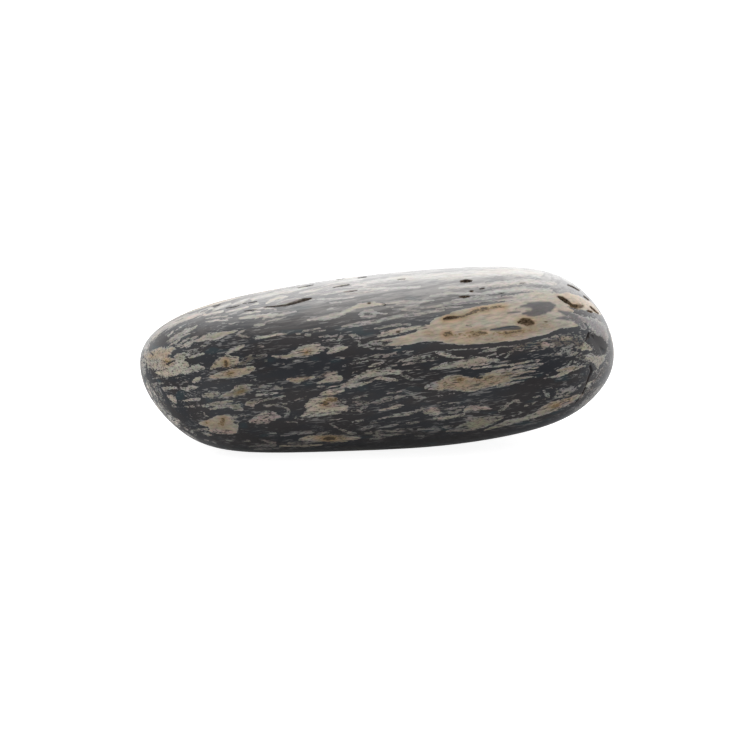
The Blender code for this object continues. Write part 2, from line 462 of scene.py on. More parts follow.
# Low, left of the middle.
FACE += streaks(Tint.CREAM, (
    ((256, 395.5, 0.6), (266, 393.7, 0.7), (276, 393, 0.5), (284, 394, 0.3)),
))
FACE += streaks(Tint.CREAM, (
    ((319, 395, 0.5), (326, 393, 1.7), (334, 391.5, 1.7), (343, 390, 1.1)),
    ((306, 406, 1.0), (312, 402.5, 2.0), (319, 399.5, 1.8)),
    ((318, 401, 1.0), (327, 400, 2.2), (336, 400.7, 1.6), (342, 402, 0.7)),
    ((300, 417, 0.4), (307, 414, 1.7), (314, 410, 3.1), (322, 407.5, 3.9), (330, 407, 3.5),
     (338, 408.2, 2.5), (345, 409.2, 1.3)),
    ((302, 417.6, 0.3), (314, 416, 0.6), (328, 414.5, 0.6), (340, 412.5, 0.6)),
    ((341, 405.5, 0.7), (348, 406.5, 0.5)),
), shade=1.22)
FACE += streaks(Tint.PINK, (
    ((250, 421, 0.8), (257, 420, 2.1), (265, 417.7, 3.0), (273, 416, 2.6), (279, 417, 0.9)),
    ((324, 404.5, 0.7), (332, 404.7, 1.0), (339, 404, 0.8)),
))
FACE += streaks(Tint.LAVENDER, (
    ((337, 402.7, 0.8), (346, 402, 0.5)),
))
FACE += streaks(Tint.LAVENDER, (
    ((250, 446.7, 0.5), (262, 445.7, 0.8), (276, 445.3, 0.5)),
    ((254, 449.3, 0.3), (266, 448.7, 0.5), (280, 448, 0.3)),
), shade=0.85)
FACE += streaks(Tint.TAN, (
    ((299, 440, 0.4), (308, 438, 1.9), (318, 438.3, 2.2), (330, 438.7, 2.2), (342, 438.7, 1.8),
     (352, 438.3, 1.2), (361, 437.5, 0.3)),
    ((280, 446, 0.4), (300, 446, 0.7), (322, 445, 0.4)),
), shade=1.3)
FACE += streaks(Tint.GREY, (
    ((257, 400, 0.3), (270, 398.5, 0.4), (283, 396.5, 0.3)),
    ((264, 407, 0.3), (275, 405, 0.4), (288, 403.5, 0.3)),
    ((281, 406, 0.3), (287, 408, 0.6), (289, 411, 1.0), (286.5, 416, 1.0), (283.5, 417, 0.6)),
    ((296, 418, 0.7), (302, 419.5, 0.7)),
    ((287, 422, 0.5), (297, 422.3, 0.5)),
    ((294, 401, 0.3), (300, 398.3, 0.5), (306, 397, 0.4)),
    ((352, 399, 0.3), (360, 397, 0.5), (369, 396.5, 0.3)),
    ((355, 403, 0.4), (362, 401.5, 0.5)),
    ((357, 409, 0.4), (364, 407, 1.0), (369, 404, 0.8)),
    ((352, 410.5, 0.5), (361, 411.5, 0.6)),
    ((325, 420.5, 0.2), (336, 419.5, 0.3), (345, 418, 0.2)),
    ((330, 423.5, 0.5), (336, 427.5, 0.6), (343, 430.5, 0.7), (350, 433, 0.8), (356, 433.5, 0.5)),
    ((352, 422, 0.4), (358, 421, 0.6), (364, 420, 0.3)),
    ((362, 429, 0.7), (368, 427.5, 1.0), (373, 426, 0.5)),
    ((365, 433, 0.5), (374, 434, 1.0), (383, 434, 0.7)),
    ((370, 439, 0.5), (384, 437.7, 0.6)),
    ((270, 433, 0.4), (276, 433, 0.4)),
    ((281, 436, 0.4), (288, 435, 0.7), (297, 433, 0.4)),
    ((298, 434.5, 0.4), (306, 432.5, 0.8), (314, 432, 0.5)),
    ((320, 432.5, 0.3), (329, 433, 0.5)),
    ((262, 440.5, 0.5), (268, 442, 0.8), (275, 442.5, 0.6)),
    ((288, 443, 0.4), (310, 443, 0.4)),
))
FACE += streaks(Tint.DARK, (
    ((304, 402, 0.2), (309, 399.5, 0.3)),
    ((334, 400, 0.3), (340, 400.3, 0.4)),
    ((306, 434.7, 0.3), (316, 434.7, 0.3)),
))

# Right of the middle.
FACE += streaks(Tint.CREAM, (
    ((378, 336, 0.6), (388, 333, 1.4), (396, 331.3, 1.6), (404, 329.7, 1.4), (412, 328.5, 1.2),
     (420, 327.7, 1.1), (427, 327.3, 0.6)),
    ((368, 366.5, 0.6), (374, 365.3, 1.0), (380, 362.7, 1.0), (386, 361, 0.4)),
    ((436.5, 352.5, 0.7), (443, 353.5, 1.2), (450, 356, 1.1), (457, 357.3, 0.6), (463, 357.5, 0.2)),
    ((368, 373.5, 1.7), (378, 372.3, 1.6), (388, 372, 1.5), (396, 372.3, 1.2), (403, 372, 1.0),
     (409, 371, 0.4)),
    ((372, 378, 0.4), (382, 378.3, 0.8), (390, 379.3, 1.0), (397, 380, 0.6)),
))
FACE += streaks(Tint.CREAM, (
    ((431, 369, 0.6), (438, 367.3, 1.2), (446, 366, 1.5), (454, 365, 1.7), (462, 363.7, 2.1),
     (470, 362.3, 2.5), (478, 361.3, 2.5), (486, 360.5, 1.9), (493, 360, 1.0), (500, 360, 0.3)),
), shade=0.82)
FACE += streaks(Tint.TAN, (
    ((432, 386, 2.0), (441, 385.3, 2.9), (449, 383, 4.0), (457, 382.7, 4.2), (465, 384, 4.2),
     (473, 384.5, 3.6), (481, 384, 2.9), (490, 382.5, 2.5), (499, 381, 2.1), (508, 380, 1.2)),
    ((484, 380.3, 0.5), (494, 378, 1.1), (504, 376, 1.2), (512, 375, 0.8)),
), fray=0.6)
FACE += streaks(Tint.TAN, (
    ((480, 377.3, 0.6), (488, 376, 1.1), (496, 374.3, 1.3), (506, 372.3, 1.1)),
    ((486, 373.5, 0.3), (494, 372, 0.6), (502, 370.5, 0.8), (512, 368.8, 0.6)),
    ((472, 369, 0.3), (486, 367, 0.5), (498, 366, 0.6), (510, 364.5, 0.5), (518, 363.5, 0.3)),
    ((495, 362.3, 0.2), (503, 361.5, 0.4), (511, 360.3, 0.3)),
))
FACE += streaks(Tint.LAVENDER, (
    ((425.5, 387.3, 0.8), (429, 386, 1.7), (434, 386, 1.4)),
), shade=1.1)
FACE += streaks(Tint.GREY, (
    ((372, 349, 0.6), (380, 348.6, 0.8), (388, 347.8, 0.6)),
    ((394, 348.3, 0.5), (400, 347.6, 0.6)),
    ((385, 356, 0.3), (392, 353.8, 0.7), (399, 352.6, 1.0), (407, 351.5, 0.9), (414, 351, 0.4)),
    ((370, 355.7, 0.5), (378, 355.5, 1.2), (386, 356, 0.9), (392, 355.5, 0.4)),
    ((389, 365.5, 0.4), (397, 365, 0.5)),
    ((349, 335, 0.6), (354, 336, 1.4), (359, 338.5, 1.1)),
    ((312, 332.5, 0.3), (319, 331, 0.6), (326, 330, 0.3)),
    ((318, 337, 0.4), (325, 336.3, 0.9), (333, 336, 0.7), (338, 334.5, 0.3)),
    ((322, 341, 0.3), (330, 340, 0.7), (337, 339, 0.4)),
    ((358, 345.5, 0.3), (368, 344.5, 0.8), (380, 343.5, 0.6), (390, 342, 0.3)),
    ((381, 369.3, 0.3), (391, 367.8, 0.3)),
    ((398, 361.3, 0.4), (407, 360, 0.8), (414, 358.3, 1.2), (422, 357.3, 1.2), (430, 356.3, 0.5)),
    ((402, 365, 0.3), (411, 363, 0.7), (417, 362, 0.9), (426, 361, 0.7), (434, 360, 0.4)),
    ((433, 358, 0.4), (437, 357, 0.5)),
    ((438, 350.3, 0.2), (450, 349.9, 0.3), (464, 349.3, 0.3), (478, 348.6, 0.4), (495, 347.6, 0.5),
     (508, 346.3, 0.4), (518, 345.3, 0.3)),
    ((479, 353.3, 0.4), (485, 351.3, 0.8), (491, 350.7, 0.6), (498, 349.5, 0.4)),
    ((496, 356.5, 0.3), (503, 354, 0.5), (509, 351, 0.4)),
    ((505, 358, 0.4), (510, 353.7, 0.7), (516, 348.5, 0.5)),
    ((488, 355.5, 0.3), (496, 353.5, 0.4)),
    ((402, 375.5, 0.6), (408, 377, 1.1), (412, 380, 0.7)),
    ((414, 378.5, 0.3), (425, 377, 0.4)),
    ((402, 371.3, 0.3), (411, 370, 0.4), (420, 369.5, 0.3)),
    ((438, 396, 0.4), (443, 395.3, 0.4)),
    ((446, 395, 0.3), (454, 394, 0.5)),
))
FACE += streaks(Tint.DARK, (
    ((384, 338.3, 0.3), (391, 337, 0.4), (399, 335.3, 0.3)),
    ((475, 378.7, 0.2), (478, 377.8, 0.5), (482, 377.7, 0.4)),
    ((457, 392.5, 0.3), (460, 390.8, 0.4)),
))

# Low, right of the middle.
FACE += streaks(Tint.MOTTLE, (
    ((424, 411.5, 0.7), (430, 410.7, 1.5), (436, 410.3, 1.7), (441, 411.5, 1.1)),
    ((446, 411, 1.0), (456, 409.5, 1.4), (463, 407, 0.8)),
    ((404, 396, 0.5), (412, 394, 0.7), (420, 393, 0.3)),
    ((432, 403.5, 0.3), (442, 402, 0.4)),
))
FACE += streaks(Tint.CREAM, (
    ((379, 410.5, 0.3), (386, 409, 0.7), (393, 407.5, 1.0), (400, 406, 0.8), (404, 405.3, 0.3)),
    ((377, 419, 0.2), (386, 417.3, 0.5), (394, 416, 0.8), (402, 414.3, 1.0), (410, 413, 0.9),
     (417, 411.5, 0.6)),
    ((425, 413, 0.6), (431, 413, 1.2), (438, 413.5, 0.9)),
    ((433, 418, 0.4), (440, 418.8, 1.1), (448, 417.5, 1.0), (456, 416, 0.9), (463, 415, 0.5),
     (465, 412, 0.5)),
))
FACE += streaks(Tint.PINK, (
    ((427, 408.7, 0.4), (432, 408.3, 0.8), (437, 409.3, 0.6)),
    ((464, 411.5, 0.6), (467, 409, 1.4), (472, 407.5, 1.5), (479, 407.8, 1.3), (486, 408.3, 0.9),
     (492, 408.5, 0.3)),
))
FACE += streaks(Tint.OLIVE, (
    ((446, 431.5, 0.4), (454, 430, 1.1), (462, 428, 1.9), (470, 425.5, 2.5), (478, 423.3, 3.0),
     (486, 421.5, 2.7), (494, 419.5, 2.1), (502, 417.5, 0.9)),
    ((484, 430.5, 0.3), (494, 427, 0.7), (504, 424, 1.1), (514, 421.5, 1.1), (522, 419.5, 0.7)),
    ((394, 399, 0.4), (399, 397, 0.7)),
), fray=0.6, shade=0.95)
FACE += streaks(Tint.GREY, (
    ((450, 431.3, 0.7), (458, 429.5, 1.0), (465, 429, 0.7)),
    ((486, 418.5, 0.5), (494, 417.3, 0.8), (502, 417, 0.4)),
    ((383, 394.5, 0.3), (392, 392.5, 0.5), (403, 391, 0.3)),
    ((373, 403, 0.8), (380, 401.3, 1.2), (388, 399, 1.2), (396, 397.3, 1.1), (404, 396, 0.5)),
    ((411, 395, 0.3), (415, 397.5, 0.7), (421, 398.3, 0.8), (427, 397.3, 0.5), (431, 396.3, 0.2)),
    ((407, 393.5, 0.4), (413, 394, 0.4)),
    ((415, 411, 0.5), (421, 409.7, 0.8), (427, 408.5, 0.4)),
    ((449, 413, 0.6), (455, 412, 0.8), (461, 411, 0.4)),
    ((447, 409.3, 0.3), (454, 407.5, 0.4), (462, 407, 0.2)),
    ((452, 406, 0.3), (460, 404.7, 0.4)),
    ((442, 404.5, 0.3), (452, 402.8, 0.4), (462, 402.3, 0.3)),
    ((470, 403.3, 0.2), (486, 402, 0.3)),
    ((464, 420, 0.5), (470, 418, 0.8), (477, 418, 0.4)),
    ((405, 423.5, 0.4), (412, 423, 0.7), (419, 422, 0.4)),
    ((380, 427.5, 0.3), (390, 425.8, 0.5), (398, 424, 0.3)),
    ((370, 431, 0.3), (382, 430.5, 0.5), (393, 431.3, 0.5), (402, 429.7, 0.8), (412, 429.3, 0.6)),
    ((418, 429.5, 0.4), (428, 429, 0.7), (438, 428, 0.9), (447, 427, 0.8), (453, 426, 0.4)),
    ((374, 436.5, 0.5), (386, 435.5, 0.8), (398, 434.3, 0.6), (405, 434, 0.3)),
    ((415, 435.7, 0.4), (424, 436.3, 0.5)),
    ((370, 423, 0.3), (378, 422, 0.4)),
))
FACE += streaks(Tint.DARK, (
    ((384, 400.7, 0.2), (390, 399.7, 0.3)),
    ((447, 415.3, 0.3), (455, 414, 0.3)),
    ((416, 404.3, 0.3), (426, 404, 0.8), (436, 403.3, 0.4)),
    ((494, 404.5, 0.3), (500, 404, 0.7), (506, 403, 0.3)),
    ((476, 405.7, 0.2), (481, 406, 0.3)),
    ((494, 422.5, 0.2), (503, 420, 0.3), (512, 418.5, 0.2)),
))

# The heel.
FACE += streaks(Tint.MOTTLE, (
    ((510, 351, 0.6), (520, 347, 1.6), (530, 345, 2.4), (540, 343.5, 2.8), (550, 342.5, 3.2),
     (560, 341.5, 3.8), (570, 341, 3.8), (578, 342, 3.6), (584, 346, 2.5)),
    ((566, 352, 1.0), (575, 354, 1.5), (585, 358, 1.5), (588, 362, 1.2)),
    ((580, 333, 0.8), (585, 336, 1.0)),
    ((594, 382, 1.0), (599, 376, 1.2), (603, 369, 1.0)),
    ((580, 398, 0.8), (586, 392, 1.2), (592, 388, 1.2)),
), fray=1.3)
FACE += streaks(Tint.CREAM, (
    ((588, 355, 0.7), (592, 354, 0.5)),
    ((551, 377.2, 0.4), (558, 376, 0.9), (563, 374, 1.1), (568, 372, 0.7)),
    ((587.5, 386, 0.9), (589.5, 383.5, 0.9), (591, 381.5, 0.5)),
))
FACE += streaks(Tint.CREAM, (
    ((589, 358, 1.0), (594, 359, 2.0), (598, 361, 2.5), (602, 358, 1.7), (604.5, 355, 0.6)),
    ((597, 364, 1.3), (598, 368, 0.5)),
    ((505, 422, 0.8), (515, 420.5, 1.2), (525, 419, 1.2), (533, 416, 1.6), (541, 412.5, 1.9),
     (550, 408.5, 2.4), (560, 404.5, 2.3), (569, 401, 1.7), (575, 397.5, 1.3), (579, 395.5, 0.8)),
), shade=0.88)
FACE += streaks(Tint.OLIVE, (
    ((583, 348.5, 1.1), (586.5, 347, 1.9), (590, 349, 1.1)),
    ((562, 392.5, 0.9), (568, 390.8, 1.3), (574, 389.2, 1.0)),
    ((543, 407, 0.5), (552, 403, 0.6), (560, 400.5, 0.4)),
))
FACE += streaks(Tint.TAN, (
    ((558, 370.5, 0.8), (566, 368.7, 1.4), (574, 368, 1.7), (580, 366.5, 0.9), (586, 366, 0.4)),
    ((562, 339, 0.3), (570, 338, 0.4)),
    ((510, 365.5, 0.3), (522, 363, 0.5), (532, 361, 0.5), (542, 359.5, 0.2)),
    ((504, 369.5, 0.3), (514, 367.8, 0.5), (524, 366, 0.6), (534, 364.5, 0.6), (543, 363.5, 0.4)),
    ((506, 373, 0.5), (516, 371, 0.5), (528, 369, 0.4), (539, 367.5, 0.3)),
    ((502, 377, 0.7), (512, 375, 0.7), (522, 373, 0.8), (530, 371.5, 0.7), (536, 371.5, 0.4)),
    ((506, 380.5, 0.5), (516, 378.8, 0.6), (526, 377.5, 0.5), (536, 377, 0.3)),
    ((498, 386, 0.8), (508, 384, 0.8), (516, 382.5, 0.5), (524, 381.5, 0.2)),
), shade=0.78)
FACE += streaks(Tint.PINK, (
    ((544, 344.5, 0.5), (549, 345.5, 0.8), (552, 345, 0.5)),
    ((559, 406, 1.1), (567, 402.8, 1.1)),
))
FACE += streaks(Tint.GREY, (
    ((552, 335.5, 0.4), (558, 335.5, 0.5)),
    ((535, 338.5, 0.4), (540, 339, 0.6), (545, 338.5, 0.3)),
    ((547, 338, 0.3), (550, 338, 0.3)),
    ((561, 350.5, 0.8), (568, 349, 1.1), (574, 346.5, 0.8)),
    ((556, 354, 0.6), (563, 354, 0.8)),
    ((549.5, 355, 0.5), (551, 355, 0.5)),
    ((565, 365.5, 0.3), (572, 361.5, 0.5)),
    ((574, 361.5, 0.4), (578, 365, 0.6)),
    ((568, 356.5, 0.4), (573, 353.5, 0.5), (577, 352, 0.3)),
    ((520, 350.5, 0.3), (528, 352, 0.4), (535, 350, 0.4)),
    ((541, 373, 0.3), (548, 374.5, 0.4)),
    ((544, 378.5, 0.4), (549, 377, 0.3)),
    ((544, 391, 0.7), (547, 394, 1.4), (548.5, 397, 0.7)),
    ((552, 388.5, 0.25), (557, 388.5, 0.25)),
    ((556.5, 391.5, 0.5), (561, 389.5, 0.6)),
    ((557, 394.5, 0.6), (562, 393, 1.1), (568, 391, 1.5), (574, 389, 1.4), (580, 385.5, 0.5)),
    ((552, 397.5, 0.3), (560, 396.3, 0.7), (568, 395.5, 0.6)),
    ((533, 397.5, 0.5), (540, 396, 0.7)),
    ((541, 400, 0.3), (546, 399, 0.3)),
    ((525, 406, 0.5), (533, 403.5, 0.5), (536, 402, 0.3)),
    ((512, 401.5, 0.7), (518, 401, 0.9), (520, 403, 0.5)),
    ((499, 411.5, 0.7), (503, 408, 1.2), (508, 404.5, 1.0), (512, 402.7, 0.5)),
    ((513, 415.5, 0.6), (518, 413.7, 0.9), (522, 412.5, 0.5)),
    ((576, 410, 0.8), (586, 403, 1.4), (595, 395, 1.6), (602, 386, 1.2)),
    ((606, 361, 0.5), (608, 364, 0.6)),
    ((604, 352, 0.5), (608, 348, 0.5)),
    ((593.5, 373, 0.6), (596, 370.5, 0.5)),
))
# The first three chains are painted shade: the notch at the top of the heel's facet, and the facet's shadowed
# hollow. The chains along the crease are partly its own dark line and partly painted shade in its groove.
FACE += streaks(Tint.DARK, (
    ((586.5, 332.5, 0.8), (588.5, 336, 1.3), (587, 339.5, 0.7)),
    ((583.5, 338, 0.4), (586, 341, 0.7), (589, 343.5, 0.6)),
    ((594, 338, 1.6), (598, 342, 3.0), (601, 346, 3.2), (603, 349, 2.0)),
    ((590, 366, 1.1), (591.5, 370, 0.9), (591, 375, 0.6)),
    ((588.5, 373, 0.5), (587, 379, 0.7), (586, 384, 0.4)),
    ((591, 387, 0.4), (594, 386, 0.6), (597, 384, 0.4)),
    ((593.5, 379, 0.4), (596, 376, 0.4)),
    ((546, 341, 0.4), (550, 340.5, 0.4)),
    ((529, 344.5, 0.4), (531, 347, 0.3)),
    ((571, 341.5, 0.3), (575, 344, 0.3)),
    ((559, 349, 0.4), (562, 346.5, 0.3)),
    ((582, 401, 0.4), (586, 395, 0.4), (590, 390.5, 0.3)),
))

# The crown.
FACE += streaks(Tint.PALE, (
    ((343, 326.5, 0.7), (350, 325.5, 1.1), (358, 324, 1.2), (368, 322.3, 1.1), (378, 320.7, 1.0),
     (390, 318, 1.0), (402, 316, 0.9), (416, 314.3, 0.9), (430, 312, 0.8), (444, 310.5, 0.4)),
    ((386, 303.3, 0.4), (398, 302.3, 0.8), (410, 302, 0.9), (422, 301.7, 0.6), (434, 300.3, 0.4)),
    ((420, 308, 0.4), (430, 307.3, 0.6), (440, 305.7, 0.7), (452, 304.3, 0.4)),
    ((399, 309.3, 0.3), (408, 307.7, 0.4), (418, 306.3, 0.3)),
), fray=0.6, shade=0.85)
FACE += streaks(Tint.PALE, (
    ((194, 315, 0.5), (203, 311, 0.9), (212, 307.7, 0.7)),
    ((213, 310, 0.5), (222, 306.7, 1.0), (230, 303.7, 0.7)),
    ((232, 305, 0.5), (241, 301.7, 1.0), (250, 298.3, 0.6)),
    ((204, 315.3, 0.5), (214, 313, 0.9), (223, 311, 0.6)),
    ((226, 312, 0.5), (236, 309.7, 0.9), (248, 306.7, 0.5)),
    ((250, 305.7, 0.3), (258, 303.7, 0.6)),
    ((216, 303.7, 0.4), (226, 300.7, 0.6), (236, 297.5, 0.4)),
    ((240, 314.5, 0.3), (250, 312.7, 0.6), (260, 311.3, 0.5)),
    ((222, 318.5, 0.2), (232, 317.5, 0.4)),
    ((252, 309.5, 0.3), (264, 307.8, 0.6), (276, 309, 0.3)),
    ((206, 322, 0.3), (216, 320.5, 0.6), (228, 320, 0.3)),
), fray=0.9, shade=1.14)
FACE += streaks(Tint.CREAM, (
    ((240, 318.5, 0.6), (250, 317, 1.0), (262, 315.7, 1.0), (272, 315, 0.9), (281, 314.3, 0.5)),
    ((342, 313.5, 1.3), (350, 309.8, 1.3), (357, 306.8, 1.3), (365, 304.7, 1.3), (374, 303.8, 1.2),
     (384, 304.5, 0.5)),
    ((266, 303.5, 0.4), (272, 300, 1.0), (280, 297.5, 0.9), (288, 296.5, 0.4)),
))
FACE += streaks(Tint.PALE, (
    ((254, 325.5, 0.5), (259, 325, 1.0), (264.5, 324, 0.5)),
    ((262, 319, 0.3), (272, 316.7, 0.5), (284, 314.2, 0.8), (296, 311.7, 0.5)),
    ((308, 320, 0.5), (318, 319, 0.9), (326, 318, 1.2), (334, 316.3, 1.4), (342, 313.5, 1.2)),
    ((310, 300, 0.3), (325, 299, 0.5), (340, 298.3, 0.5), (354, 297, 0.3)),
    ((327, 309.7, 0.5), (332, 309, 0.6)),
    ((252, 299, 0.9), (264, 296.3, 1.1), (277, 293.3, 1.1), (291, 290.5, 0.9), (306, 287.5, 0.7)),
    ((300, 293, 0.7), (318, 289, 0.7), (340, 282, 0.6), (362, 279, 0.6)),
    ((320, 295, 0.3), (340, 292, 0.4), (365, 289, 0.5), (390, 288, 0.7), (420, 287, 0.6)),
    ((352, 286, 0.4), (358, 284.3, 0.8), (366, 285.5, 0.7), (361, 288.3, 0.4)),
    ((365, 283, 0.8), (390, 279, 1.2), (420, 277, 1.6), (450, 276, 2.0), (480, 273, 2.0), (510, 272, 2.2),
     (540, 274, 1.8)),
    ((440, 288, 0.7), (470, 286, 1.0), (500, 284, 1.6), (530, 281, 1.4), (555, 284, 1.0)),
    ((430, 296, 0.6), (450, 293, 0.8), (480, 294, 0.9), (500, 291, 1.4), (525, 289, 1.4), (550, 291, 1.2)),
))
FACE += streaks(Tint.PINK, (
    ((190, 318.5, 0.7), (197, 316.5, 1.0), (204, 314, 0.7)),
), shade=1.15)
FACE += streaks(Tint.CREAM, (
    ((492, 300.5, 0.5), (505, 298.7, 1.5), (518, 297, 1.7), (530, 295.5, 1.8), (545, 294.5, 1.8),
     (557, 295.5, 1.2)),
), shade=1.05)
FACE += streaks(Tint.GREY, (
    ((206, 318.7, 0.3), (216, 317, 0.5), (227, 316.3, 0.4)),
    ((228, 314, 0.3), (236, 313, 0.5)),
    ((265, 322, 0.3), (275, 319.5, 0.4), (285, 317.5, 0.3)),
    ((236, 322.5, 0.3), (243, 322, 0.4)),
    ((387, 307, 0.5), (393, 307, 0.5)),
    ((330, 303, 0.4), (341, 302, 0.4)),
    ((444, 303, 0.5), (470, 300, 0.5), (500, 296, 0.5)),
    ((402, 310, 0.4), (420, 311, 0.4)),
    ((396, 305, 0.3), (410, 306, 0.4), (420, 305.3, 0.3)),
    ((374, 329, 0.4), (384, 327, 0.8), (396, 325, 0.9), (410, 324, 0.6)),
))
FACE += streaks(Tint.LAVENDER, (
    ((359, 314.5, 0.6), (365, 311.3, 1.0), (372, 311.3, 1.0), (379, 313.5, 0.6)),
    ((361, 316, 0.5), (368, 316.7, 0.7), (376, 315.5, 0.6)),
    ((380, 314, 0.5), (386, 313.5, 0.6)),
))
# A smooth pale grey sheet on the heel's top right facet, which faces up: painted sheen.
FACE += streaks(Tint.SLATE, (
    ((580, 316.5, 0.7), (587, 320, 1.8), (594, 324, 3.0), (600, 329.5, 3.6), (604.5, 337, 2.4),
     (606.5, 343, 0.8)),
), fray=1.2, shade=2.3)
# The first chain darkens the inside of the slot: painted shade. The others are the crown's grey streaks.
FACE += streaks(Tint.SLATE, (
    ((277, 304.3, 0.4), (284, 302.7, 1.0), (292, 301, 1.2), (300, 299.3, 0.7)),
    ((304, 296.5, 0.2), (322, 292.3, 0.7), (338, 289.3, 0.9), (352, 288.3, 0.6), (362, 287.5, 0.2)),
    ((312, 289.5, 0.2), (326, 286, 0.5), (340, 284.3, 0.7), (354, 282.5, 0.5), (366, 281.5, 0.2)),
    ((338, 294.7, 0.2), (356, 293, 0.6), (374, 291.3, 0.5), (388, 290.5, 0.2)),
    ((366, 287.3, 0.2), (378, 285.5, 0.4), (392, 284.3, 0.2)),
), fray=0.6, shade=1.7)
FACE += streaks(Tint.SLATE, (
    ((444, 304.8, 0.5), (462, 303, 0.9), (480, 301, 0.9), (498, 298.5, 0.7), (512, 296.7, 0.3)),
    ((452, 300, 0.3), (470, 298, 0.5), (488, 295.5, 0.4)),
    ((436, 309, 0.3), (450, 307.5, 0.5), (462, 306.5, 0.4)),
), shade=1.6)
FACE += streaks(Tint.DARK, (
    ((293, 319, 1.2), (297, 316.5, 1.6), (303, 314.5, 0.8)),
    ((430, 315, 0.5), (440, 313.5, 0.6), (450, 311.5, 0.4)),
))

STAINS: tuple[Stain, ...] = ()
STAINS += stains(0.85, (
    ((460, 317, 0.6), (466, 315.5, 0.6), (471, 313, 0.7), (476, 311, 0.9)),
    ((477, 310, 0.7), (483, 309, 1.1), (488, 309, 0.7)),
    ((491, 307.5, 0.5), (497, 306.7, 0.6), (504, 306.7, 0.4)),
    ((500, 333.3, 0.3), (507, 333, 0.8), (515, 332, 0.4), (524, 330.3, 0.2)),
    ((443.5, 334.7, 0.5), (446.5, 334.2, 1.3), (450.5, 333, 1.0)),
    ((478, 332, 0.6), (485, 333, 0.8)),
))
STAINS += stains(1.0, (
    ((444.5, 319, 0.7), (448, 318, 1.0), (454, 317.5, 0.8), (460, 317, 0.4)),
    ((324, 439, 0.4), (329, 438.6, 0.9), (335, 438.4, 0.4)),
    ((225.7, 362, 0.9), (226.3, 365, 0.9)),
    ((572, 305, 0.7), (576, 306, 0.8)),
))
STAINS += stains(0.72, (
    ((470, 335, 0.9), (475, 334.6, 1.2), (480, 333.6, 0.9)),
    ((467, 332, 0.4), (474, 331.6, 0.4)),
    ((457, 379.7, 0.4), (460, 379.6, 0.9), (464, 379, 0.4)),
    ((552, 406.8, 0.5), (556, 405.8, 0.9), (559, 404.8, 0.5)),
    ((562.5, 399.8, 0.2), (569, 399.2, 0.2)),
    ((228.5, 373.5, 0.7), (232, 373, 0.7)),
    ((238, 392.5, 0.6), (243, 391, 0.7)),
    ((222.7, 419.5, 1.1), (222, 423.7, 1.2)),
    ((206.5, 422.5, 0.5), (208, 423, 0.4)),
    ((166, 361, 0.6), (169, 362, 0.5)),
    ((305, 353, 0.5), (307.5, 352.3, 0.5)),
    ((325, 401.5, 0.8), (329, 399.8, 1.3), (336, 399.5, 1.0)),
    ((323, 405, 0.5), (327, 404, 0.6)),
    ((518.5, 322, 0.5), (524, 320, 1.2), (530, 322, 1.4), (534, 323, 0.5)),
))
STAINS += stains(0.5, (
    ((292, 377.7, 0.5), (299, 377.5, 0.7), (308, 376.5, 0.5)),
    ((427, 333.5, 0.3), (430, 334.5, 0.3)),
    ((160.5, 354.5, 0.4), (162.5, 355, 0.3)),
    ((152, 352, 0.2), (153, 356, 0.3)),
    ((474, 378, 0.6), (480, 377.5, 0.6)),
    ((462, 333, 0.15), (466, 337, 0.2), (470, 341, 0.15)),
    ((448, 335, 0.5), (466, 334, 0.7), (490, 333.5, 0.9), (512, 332, 0.9), (535, 329, 0.6)),
    ((318, 437, 0.8), (342, 437, 0.8)),
))
STAINS += stains(0.36, (
    ((455, 338, 0.8), (470, 338, 1.2), (485, 336.5, 1.6), (505, 336.5, 1.4), (518, 334, 1.0),
     (530, 330, 0.6)),
    ((450, 315, 0.8), (470, 310, 0.9), (484, 306.5, 0.8), (500, 306, 0.8)),
    ((540, 323, 1.0), (550, 325, 1.0)),
    ((560, 297, 1.2), (572, 301, 1.2), (584, 305, 1.2), (594, 310, 1.0)),
    ((440, 384, 1.0), (470, 382, 1.8), (500, 378, 1.4), (520, 374, 1.0)),
    ((154, 356, 0.6), (164, 353.5, 0.8)),
    ((215, 366, 1.2), (236, 366, 1.4)),
    ((212, 424, 1.2), (226, 424, 1.8)),
))

